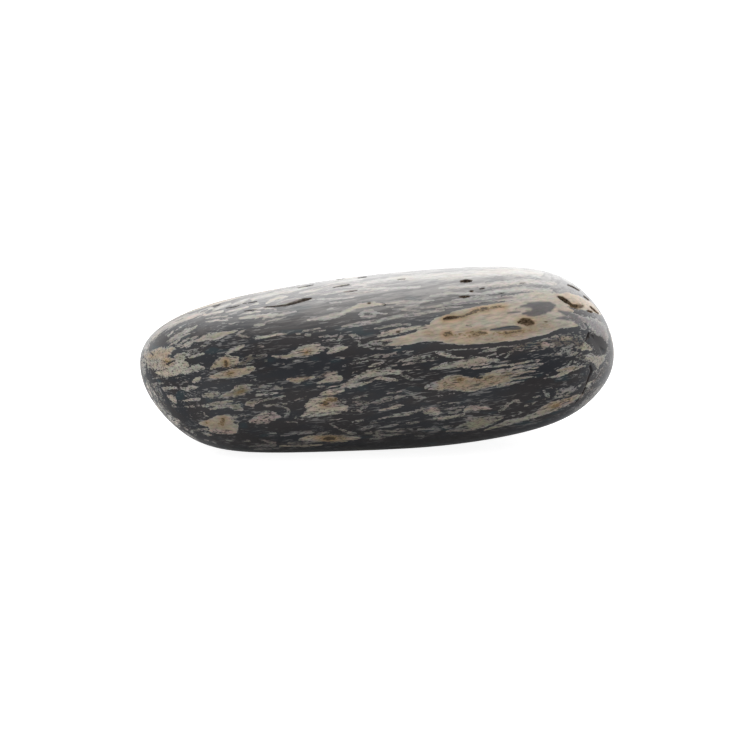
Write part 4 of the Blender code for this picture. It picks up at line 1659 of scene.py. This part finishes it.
@dataclass(frozen=True)
class Ground:
    """The blue-black ground, with its fine hairs and a painted sheen: a pale veil on what looks up.

    Attributes:
        cool, warm, teal: its colour in bluish, in brownish and in sea-green places.
        hair, bloom: colours of its fine streaks and of the veil, a painted sheen.
        cloud, pool: noises of the brownish and of the sea-green places.
        hairs, flock, flock_swing: noise of the fine streaks, and the noise that gathers them, and how much.
        hair_edge, hair_most: values of their sum between which a hair shows, and how much it covers.
        hair_near, hair_levels: distances from a streak between which there are more hairs, and how many.
        veil, lines, lines_swing: noise of the veil, and the noise of the lines that part it, and how much.
        veil_edge, veil_levels: values of their sum between which the veil thickens, and how thick it is.
        veil_on_dark: how much of it lies on a dark streak, and beside it.
    """

    cool: Colour = (0.0125, 0.0138, 0.0170)
    warm: Colour = (0.0158, 0.0139, 0.0147)
    teal: Colour = (0.0130, 0.0205, 0.0245)
    hair: Colour = (0.230, 0.224, 0.218)
    painted_sheen: Colour = (0.214, 0.203, 0.192)
    cloud: Noise = Noise(14.0, 6.0, 4.0, shift=5.0)
    pool: Noise = Noise(7.0, 5.0, 3.0, detail=1.0, shift=97.0, span=(0.60, 0.72))
    hairs: Noise = Noise(3.0, 0.7, 0.30, shift=61.0)
    flock: Noise = Noise(12.0, 3.0, 1.6, shift=83.0)
    flock_swing: float = 0.5
    hair_edge: Span = (0.595, 0.655)
    hair_most: float = 0.42
    hair_near: Span = (9.0, 1.5)
    hair_levels: Span = (0.35, 1.0)
    veil: Noise = Noise(11.0, 2.6, 0.9, detail=3.0, shift=47.0)
    lines: Noise = Noise(8.0, 1.6, 0.36, detail=1.0, shift=131.0)
    lines_swing: float = 0.5
    veil_edge: Span = (0.38, 0.62)
    veil_levels: Span = (0.20, 0.56)
    veil_on_dark: Span = (0.75, 1.0)

    def build(self, board: StoneBoard, outward: Socket, dark_edge: Span) -> Socket:
        """Lay the ground.

        Args:
            board: the stone's node tree.
            outward: the distance outside a dark streak.
            dark_edge: the distances between which a dark streak ends.

        Returns:
            Its colour.
        """
        ground = board.mix(board.patches(self.cloud), self.cool, self.warm)
        ground = board.mix(board.patches(self.pool), ground, self.teal)
        hairs = board.plus(board.noise(self.hairs), board.swing(self.flock, self.flock_swing))
        hairs = board.times(board.ramp(hairs, self.hair_edge), self.hair_most)
        hairs = board.times(hairs, board.ramp(board.field("streak"), self.hair_near, self.hair_levels))
        ground = board.mix(board.times(hairs, board.ramp(outward, dark_edge)), ground, self.hair)
        # A painted sheen: the pale veil painted on what looks up, in place of the light from above.
        veil = board.plus(board.noise(self.veil), board.swing(self.lines, self.lines_swing))
        veil = board.times(board.field("painted_sheen"), board.ramp(veil, self.veil_edge, self.veil_levels))
        veil = board.times(veil, board.ramp(outward, dark_edge, self.veil_on_dark))
        return board.mix(veil, ground, self.painted_sheen)


@dataclass(frozen=True)
class StreakCoat:
    """The colour of the streaks: pale at the rim, and the streak's own tint farther in.

    Attributes:
        rim, rim_depth: colour of the rim, and depths inside a streak between which it turns to the tint.
        warm: what the halo of a stain multiplies the colour by.
        tone: noise that multiplies the colour by its levels.
        drift, drift_tints: noise of warm and cool places, and what it multiplies the colour by in them.
        mottle, mottle_tints: the same for small pink and green places.
    """

    rim: Colour = (0.250, 0.246, 0.236)
    rim_depth: Span = (0.2, 1.8)
    warm: Colour = (0.92, 0.74, 0.54)
    tone: Noise = Noise(3.0, 0.9, 0.6, detail=4.0, shift=29.0, span=(0.25, 0.75), levels=(0.72, 1.15))
    drift: Noise = Noise(6.0, 3.0, 2.2, shift=53.0)
    drift_tints: tuple[Colour, Colour] = ((1.02, 0.96, 0.90), (0.95, 0.98, 0.99))
    mottle: Noise = Noise(1.3, 0.9, 0.7, detail=1.0, shift=67.0, span=(0.38, 0.62))
    mottle_tints: tuple[Colour, Colour] = ((1.04, 0.94, 0.96), (0.93, 0.98, 0.88))

    def build(self, board: StoneBoard, inward: Socket) -> Socket:
        """Lay the coat.

        Args:
            board: the stone's node tree.
            inward: the depth inside a streak.

        Returns:
            Its colour.
        """
        coat = board.mix(board.ramp(inward, self.rim_depth), self.rim, board.field("tint"))
        coat = board.mix(board.field("warm"), coat, board.mix(1.0, coat, self.warm, "MULTIPLY"))
        drift = board.mix(board.patches(self.drift), *self.drift_tints)
        mottle = board.mix(board.patches(self.mottle), *self.mottle_tints)
        for layer in (board.patches(self.tone), drift, mottle):
            coat = board.mix(1.0, coat, layer, "MULTIPLY")
        return coat


@dataclass(frozen=True)
class DirtAndPaintedShade:
    """The ochre stains, and the brown in the hollows, which is partly dirt and partly painted shade.

    Attributes:
        ochre, umber, earth: colours of a stain, of its middle and the darkest hollow brown, and of the
            palest.
        speck_swing, fray_swing: how far the specks and the finest teeth of the streaks swing a stain's edge.
        ochre_span, ochre_most: strengths between which a stain turns ochre, and how much that covers.
        umber_span, umber_levels: strengths between which it turns umber, and how much that covers.
        earth_span: values of the specks between which the hollows' brown is pale.
    """

    ochre: Colour = (0.112, 0.072, 0.026)
    umber: Colour = (0.030, 0.019, 0.010)
    earth: Colour = (0.130, 0.092, 0.062)
    speck_swing: float = 0.9
    fray_swing: float = 0.7
    ochre_span: Span = (0.38, 0.75)
    ochre_most: float = 0.85
    umber_span: Span = (0.68, 0.90)
    umber_levels: Span = (0.0, 0.88)
    earth_span: Span = (0.40, 0.62)

    def build(self, board: StoneBoard, base: Socket, speck: Noise, fray: Noise) -> Socket:
        """Lay the stains, and the hollows' brown that is partly dirt and partly painted shade.

        Args:
            board: the stone's node tree.
            base: colour of the clean stone.
            speck: noise of the streaks' specks.
            fray: noise of the finest teeth of their edges.

        Returns:
            The colour with the stains and the hollows' brown on it.
        """
        swing = board.plus(board.swing(speck, self.speck_swing), board.swing(fray, self.fray_swing))
        stain = board.plus(board.field("stain"), swing)
        base = board.mix(board.times(board.ramp(stain, self.ochre_span), self.ochre_most), base, self.ochre)
        base = board.mix(board.ramp(stain, self.umber_span, self.umber_levels), base, self.umber)
        # The hollows' brown, from umber to earth: partly dirt, and partly painted shade in the slot and pits.
        earth = board.mix(board.ramp(board.noise(speck), self.earth_span), self.umber, self.earth)
        return board.mix(board.field("pit"), base, earth)


@dataclass(frozen=True)
class StoneFinish:
    """Banded slate: a blue-black ground with frayed cream streaks, ochre stains and a river polish.

    Attributes:
        grain: direction of the streaks.
        fray, speckle, coat: how their edges fray, how speckled they are, and their colour.
        ground, dirt: the ground, and the stains and hollow brown (partly painted shade) over all.
        roughness, streak_roughness, dirt_roughness: the ground's, and how much rougher streaks and hollows
        are.
        specular, sheen: the shader's specular level and sheen where the polish is full.
        sheen_roughness: the sheen's roughness.
        relief, relief_strength: how tall the finest relief is, and how strongly it shades.
        relief_share: how much of it the streaks make, and how much the specks.
    """

    grain: Grain = Grain()
    fray: Fray = Fray()
    speckle: Speckle = Speckle()
    ground: Ground = Ground()
    coat: StreakCoat = StreakCoat()
    dirt: DirtAndPaintedShade = DirtAndPaintedShade()
    roughness: float = 0.42
    streak_roughness: float = 0.08
    dirt_roughness: float = 0.30
    specular: float = 0.26
    sheen: float = 0.30
    sheen_roughness: float = 0.28
    relief: float = 0.06
    relief_strength: float = 0.5
    relief_share: float = 0.6

    def build(self) -> bpy.types.Material:
        """Mix the stone's colours and dress the shader in them.

        Returns:
            The stone's material.
        """
        material = bpy.data.materials.new("banded slate")
        board = StoneBoard(material, self.grain)
        inward, outward = self.fray.build(board)
        patch = board.times(board.ramp(inward, self.fray.streak_edge), board.field("body"))
        inside = board.times(patch, self.speckle.build(board))
        cover = board.times(inside, board.ramp(outward, self.fray.dark_edge))
        base = self.ground.build(board, outward, self.fray.dark_edge)
        base = board.mix(cover, base, self.coat.build(board, inward))
        # The stains, and the hollows' brown: partly dirt, and partly painted shade.
        base = self.dirt.build(board, base, self.speckle.speck, self.fray.teeth[-1])
        self.build_shader(board, base, cover)
        return material

    def build_shader(self, board: StoneBoard, base: Socket, cover: Socket) -> None:
        """Add the shader with its polish and its finest relief.

        Args:
            board: the stone's node tree.
            base: the stone's colour.
            cover: how much of the ground the streaks cover.
        """
        rough = board.plus(board.times(cover, self.streak_roughness), self.roughness)
        specks = board.times(board.noise(self.speckle.speck), self.relief_share)
        bump = board.node("ShaderNodeBump", {
            "Strength": self.relief_strength,
            "Distance": self.relief * MM,
            "Height": board.plus(board.times(cover, self.relief_share), specks),
        })
        shader = board.node("ShaderNodeBsdfPrincipled", {
            "Base Color": base,
            "Roughness": board.plus(rough, board.times(board.field("pit"), self.dirt_roughness)),
            "Sheen Roughness": self.sheen_roughness,
            "Normal": bump.outputs["Normal"],
        })
        for name, level in (("Specular IOR Level", self.specular), ("Sheen Weight", self.sheen)):
            board.feed(shader.inputs[name], level)
            board.feed(shader.inputs[name], board.times(board.field("gloss"), level))
        board.finish("ShaderNodeOutputMaterial", shader.outputs["BSDF"])


@dataclass(frozen=True)
class Pebble:
    """The stone: the CAD node's shape with a fine mesh, its hollows carved, and its fields stored.

    Attributes:
        node: the CAD node that it stands for.
        painter, finish: what places its marks and hollows, and what it is dressed in.
        merge: how near to each other points of the CAD node are merged.
        voxel: size of the quads on the sides that the portrait doesn't show.
        passes, fine_passes: smoothing passes for the whole mesh, and for the points that halving adds.
        carved_room: how far round a hollow the mesh is refined once more.
        steepest: width of the steepest wall of a hollow.
    """

    node: str
    painter: MarkPainter
    finish: StoneFinish = StoneFinish()
    merge: float = 0.001
    voxel: float = 0.78
    passes: int = 40
    fine_passes: int = 3
    carved_room: float = 0.5
    steepest: float = 0.05

    def build(self) -> bpy.types.Object:
        """Make the stone, carve it, dress it and set it on the root body.

        Returns:
            The finished stone.
        """
        stone = self.remeshed()
        self.refine(stone.data)
        self.fit(stone.data)
        self.carve(stone.data)
        self.painter.spread(*self.points_of(stone.data)).store(stone.data)
        stone.data.shade_smooth()
        stone.data.materials.clear()
        stone.data.materials.append(self.finish.build())
        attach(stone, "root")
        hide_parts(self.node)
        return stone

    def remeshed(self) -> bpy.types.Object:
        """Give the CAD node's shape an even, smoothed mesh.

        Returns:
            A new object with that mesh.
        """
        shape = bmesh.new()
        shape.from_mesh(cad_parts[self.node].data)
        bmesh.ops.remove_doubles(shape, verts=shape.verts, dist=self.merge * MM)
        mesh = bpy.data.meshes.new("stone")
        shape.to_mesh(mesh)
        shape.free()
        stone = bpy.data.objects.new("stone", mesh)
        bpy.context.scene.collection.objects.link(stone)
        remesh = stone.modifiers.new("even quads", "REMESH")
        remesh.mode = "VOXEL"
        remesh.voxel_size = self.voxel * MM
        evaluated = stone.evaluated_get(bpy.context.evaluated_depsgraph_get())
        even = bpy.data.meshes.new_from_object(evaluated)
        stone.modifiers.clear()
        stone.data = even
        shape = bmesh.new()
        shape.from_mesh(even)
        self.smooth(shape, shape.verts, self.passes)
        shape.to_mesh(even)
        shape.free()
        return stone

    def smooth(self, shape: bmesh.types.BMesh, points: Iterable[bmesh.types.BMVert], passes: int) -> None:
        """Draw points towards the middle of their neighbours, that many times.

        Args:
            shape: the mesh that they belong to.
            points: the points.
            passes: how many times.
        """
        for _ in range(passes):
            bmesh.ops.smooth_vert(shape, verts=points, factor=0.5, use_axis_x=True, use_axis_y=True,
                                  use_axis_z=True)

    def points_of(self, mesh: bpy.types.Mesh) -> tuple[np.ndarray, np.ndarray]:
        """Read a mesh's points.

        Args:
            mesh: the mesh.

        Returns:
            The points in millimetres, and their normals.
        """
        count = len(mesh.vertices)
        points, normals = np.empty((count, 3), np.float32), np.empty((count, 3), np.float32)
        mesh.vertices.foreach_get("co", points.ravel())
        mesh.vertices.foreach_get("normal", normals.ravel())
        return points.astype(float) / MM, normals.astype(float)

    def move(self, mesh: bpy.types.Mesh, points: np.ndarray) -> None:
        """Put the mesh's points at these places, in millimetres."""
        mesh.vertices.foreach_set("co", (points * MM).astype(np.float32).ravel())
        mesh.update()

    def refine(self, mesh: bpy.types.Mesh) -> None:
        """Halve the quads that the portrait shows, and halve them again round the hollows."""
        self.halve(mesh, self.painter.portrait.facing(*self.points_of(mesh)) > self.painter.fine_side)
        self.halve(mesh, self.hollow_depth(*self.points_of(mesh), self.carved_room) > 0)

    def halve(self, mesh: bpy.types.Mesh, chosen: np.ndarray) -> None:
        """Halve every edge between two chosen points, then even out the new points.

        Args:
            mesh: the stone's mesh.
            chosen: true for each chosen point.
        """
        shape = bmesh.new()
        shape.from_mesh(mesh)
        edges = [edge for edge in shape.edges if all(chosen[end.index] for end in edge.verts)]
        split = bmesh.ops.subdivide_edges(shape, edges=edges, cuts=1, use_grid_fill=True)
        fresh = [item for item in split["geom"] if isinstance(item, bmesh.types.BMVert)]
        self.smooth(shape, fresh, self.fine_passes)
        shape.to_mesh(mesh)
        shape.free()
        mesh.update()

    def fit(self, mesh: bpy.types.Mesh) -> None:
        """Stretch the mesh back to the CAD node's box, which smoothing shrinks a little.

        Args:
            mesh: the stone's mesh.
        """
        low, high = (np.array(corner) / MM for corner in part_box(self.node))
        points, _ = self.points_of(mesh)
        lowest, highest = points.min(axis=0), points.max(axis=0)
        self.move(mesh, low + (points - lowest) / (highest - lowest) * (high - low))

    def hollow_depth(self, points: np.ndarray, normals: np.ndarray, room: float = 0.0) -> np.ndarray:
        """Work out how deep the stone is carved.

        Args:
            points: its points in millimetres.
            normals: their normals.
            room: how much wider than they are the hollows are taken to be.

        Returns:
            The depth at each point, in millimetres.
        """
        sight = self.painter.portrait.sight(points, normals)
        depth = np.zeros(len(points))
        for hollow in HOLLOWS:
            stops = self.painter.in_millimetres(hollow.stops)
            close, apart, half = sight.beside(stops, self.painter.reach)
            wall = np.maximum(np.minimum(hollow.wall, half), self.steepest)
            cut = hollow.depth * smooth_step((room - apart) / wall, 0.0, 1.0) * sight.seen[close]
            depth[close] = np.maximum(depth[close], cut)
        return depth

    def carve(self, mesh: bpy.types.Mesh) -> None:
        """Carve the hollows into the stone."""
        points, normals = self.points_of(mesh)
        self.move(mesh, points - normals * self.hollow_depth(points, normals)[:, None])


@dataclass(frozen=True)
class Studio:
    """A white floor and a soft room: bright above and behind the stone, and dim on the camera's side.

    Directions are degrees to the right of straight behind the stone, and degrees above level. Reaches are the
    cosines to a direction for the room, and metres towards it for the floor.

    Attributes:
        portrait: the camera that the room is turned to.
        floor_radius, floor_sides: radius of the floor in metres, and how many sides its rim has.
        floor_front, floor_back, floor_left: its shades before, behind and left of the stone, as that sees it.
        floor_bright, floor_glow: its shade, and the even light that it gives, as the camera sees it.
        back_reach, left_reach: reaches between which the back and left shades set in.
        lamp, levels: direction of the brightest place, and reaches towards it, 0 to 1, with the radiance.
        side, side_reach, side_glow: direction of the soft side light, where it sets in, and its brightness.
        wall_height, wall_reach, wall_glow: heights between which the low wall behind the stone brightens,
            the reaches between which it sets in, and its brightness.
    """

    portrait: Portrait
    floor_radius: float = 6.0
    floor_sides: int = 96
    floor_front: float = 0.56
    floor_back: float = 0.85
    floor_left: float = 0.95
    floor_bright: float = 0.45
    floor_glow: float = 0.90
    back_reach: Span = (-0.10, 0.12)
    left_reach: Span = (0.03, 0.08)
    lamp: Span = (22.0, 50.0)
    levels: tuple[Span, ...] = ((0.0, 0.18), (0.40, 0.34), (0.62, 0.85), (0.82, 1.9), (1.0, 4.6))
    side: Span = (-95.0, 5.0)
    side_reach: Span = (0.40, 1.0)
    side_glow: float = 1.1
    wall_height: Span = (0.55, 0.0)
    wall_reach: Span = (-0.3, 0.6)
    wall_glow: float = 1.2

    def build(self) -> None:
        """Add the floor and the room's light."""
        self.build_floor()
        self.build_room()

    def toward(self, board: NodeBoard, coords: Socket, turn: float, tilt: float) -> Socket:
        """Work out how far coordinates reach towards a direction of the room.

        Args:
            board: the node tree.
            coords: the coordinates.
            turn: degrees that the direction is turned to the right of straight behind the stone.
            tilt: degrees that it is tilted above level.

        Returns:
            The reach.
        """
        bearing, rise = math.radians(90 + self.portrait.azimuth - turn), math.radians(tilt)
        level = math.cos(rise)
        way = math.cos(bearing) * level, math.sin(bearing) * level, math.sin(rise)
        dot = board.node("ShaderNodeVectorMath", {0: coords, 1: way}, operation="DOT_PRODUCT")
        return dot.outputs["Value"]

    def build_floor(self) -> None:
        """Add a round pale floor under the stone."""
        shape = bmesh.new()
        bmesh.ops.create_circle(shape, cap_ends=True, segments=self.floor_sides, radius=self.floor_radius)
        mesh = bpy.data.meshes.new("studio floor")
        shape.to_mesh(mesh)
        shape.free()
        mesh.materials.append(self.floor_finish())
        floor = bpy.data.objects.new("studio_floor", mesh)
        bpy.context.scene.collection.objects.link(floor)

    def floor_finish(self) -> bpy.types.Material:
        """Mix the floor's shades.

        Returns:
            The floor's material, even and white to the camera, and dimmer to the stone in front.
        """
        material = bpy.data.materials.new("pale floor")
        board = NodeBoard(material)
        by_camera = board.node("ShaderNodeLightPath").outputs["Is Camera Ray"]
        place = board.node("ShaderNodeTexCoord").outputs["Object"]
        behind = board.ramp(self.toward(board, place, 0.0, 0.0), self.back_reach)
        left = board.ramp(self.toward(board, place, -90.0, 0.0), self.left_reach)
        by_stone = board.mix(behind, (self.floor_front,) * 3, (self.floor_back,) * 3)
        by_stone = board.mix(left, by_stone, (self.floor_left,) * 3)
        shade = board.mix(by_camera, by_stone, (self.floor_bright,) * 3)
        diffuse = board.node("ShaderNodeBsdfDiffuse", {"Color": shade}).outputs["BSDF"]
        strength = board.times(by_camera, self.floor_glow)
        glow = board.node("ShaderNodeEmission", {"Strength": strength}).outputs["Emission"]
        both = board.node("ShaderNodeAddShader", {0: diffuse, 1: glow})
        board.finish("ShaderNodeOutputMaterial", both.outputs["Shader"])
        return material

    def build_room(self) -> None:
        """Make the world a smooth gradient that the camera sees as white."""
        world = bpy.data.worlds.new("soft room")
        bpy.context.scene.world = world
        board = NodeBoard(world)
        coords = board.node("ShaderNodeTexCoord").outputs["Generated"]
        by_camera = board.node("ShaderNodeLightPath").outputs["Is Camera Ray"]
        to_stone = board.times(self.radiance(board, coords), board.minus(1.0, by_camera))
        strength = board.math("MAXIMUM", by_camera, to_stone)
        shine = board.node("ShaderNodeBackground", {"Color": (1.0, 1.0, 1.0), "Strength": strength})
        board.finish("ShaderNodeOutputWorld", shine.outputs["Background"])

    def radiance(self, board: NodeBoard, coords: Socket) -> Socket:
        """Add up the light from the lamp, from the side and from the low wall.

        Args:
            board: the room's node tree.
            coords: the directions of the room.

        Returns:
            The room's radiance in each direction.
        """
        lamp = board.times(board.plus(self.toward(board, coords, *self.lamp), 1.0), 0.5)
        gradient = board.node("ShaderNodeValToRGB", {"Fac": lamp})
        gradient.color_ramp.interpolation = "EASE"
        while len(gradient.color_ramp.elements) < len(self.levels):
            gradient.color_ramp.elements.new(1.0)
        brightest = max(level for _, level in self.levels)
        for element, (position, level) in zip(gradient.color_ramp.elements, self.levels):
            element.position = position
            element.color = (level / brightest,) * 3 + (1.0,)
        height = board.node("ShaderNodeSeparateXYZ", {"Vector": coords}).outputs["Z"]
        low = board.ramp(height, self.wall_height)
        wall = board.times(low, board.ramp(self.toward(board, coords, 0.0, 0.0), self.wall_reach))
        side = board.ramp(self.toward(board, coords, *self.side), self.side_reach, (0.0, self.side_glow))
        low_light = board.plus(side, board.times(wall, self.wall_glow))
        return board.plus(board.times(gradient.outputs["Color"], brightest), low_light)


def main() -> None:
    """Build the camera, the studio and the stone."""
    logging.basicConfig(level=logging.INFO, format="%(name)s: %(message)s")
    bpy.context.scene.view_settings.view_transform = "Standard"
    portrait = Portrait()
    portrait.build()
    Studio(portrait).build()
    stone = Pebble("pebble", MarkPainter(portrait)).build()
    triangles = sum(len(face.vertices) - 2 for face in stone.data.polygons)
    LOG.info("stone: %d points, %d triangles", len(stone.data.vertices), triangles)


if __name__ == "__main__":
    main()
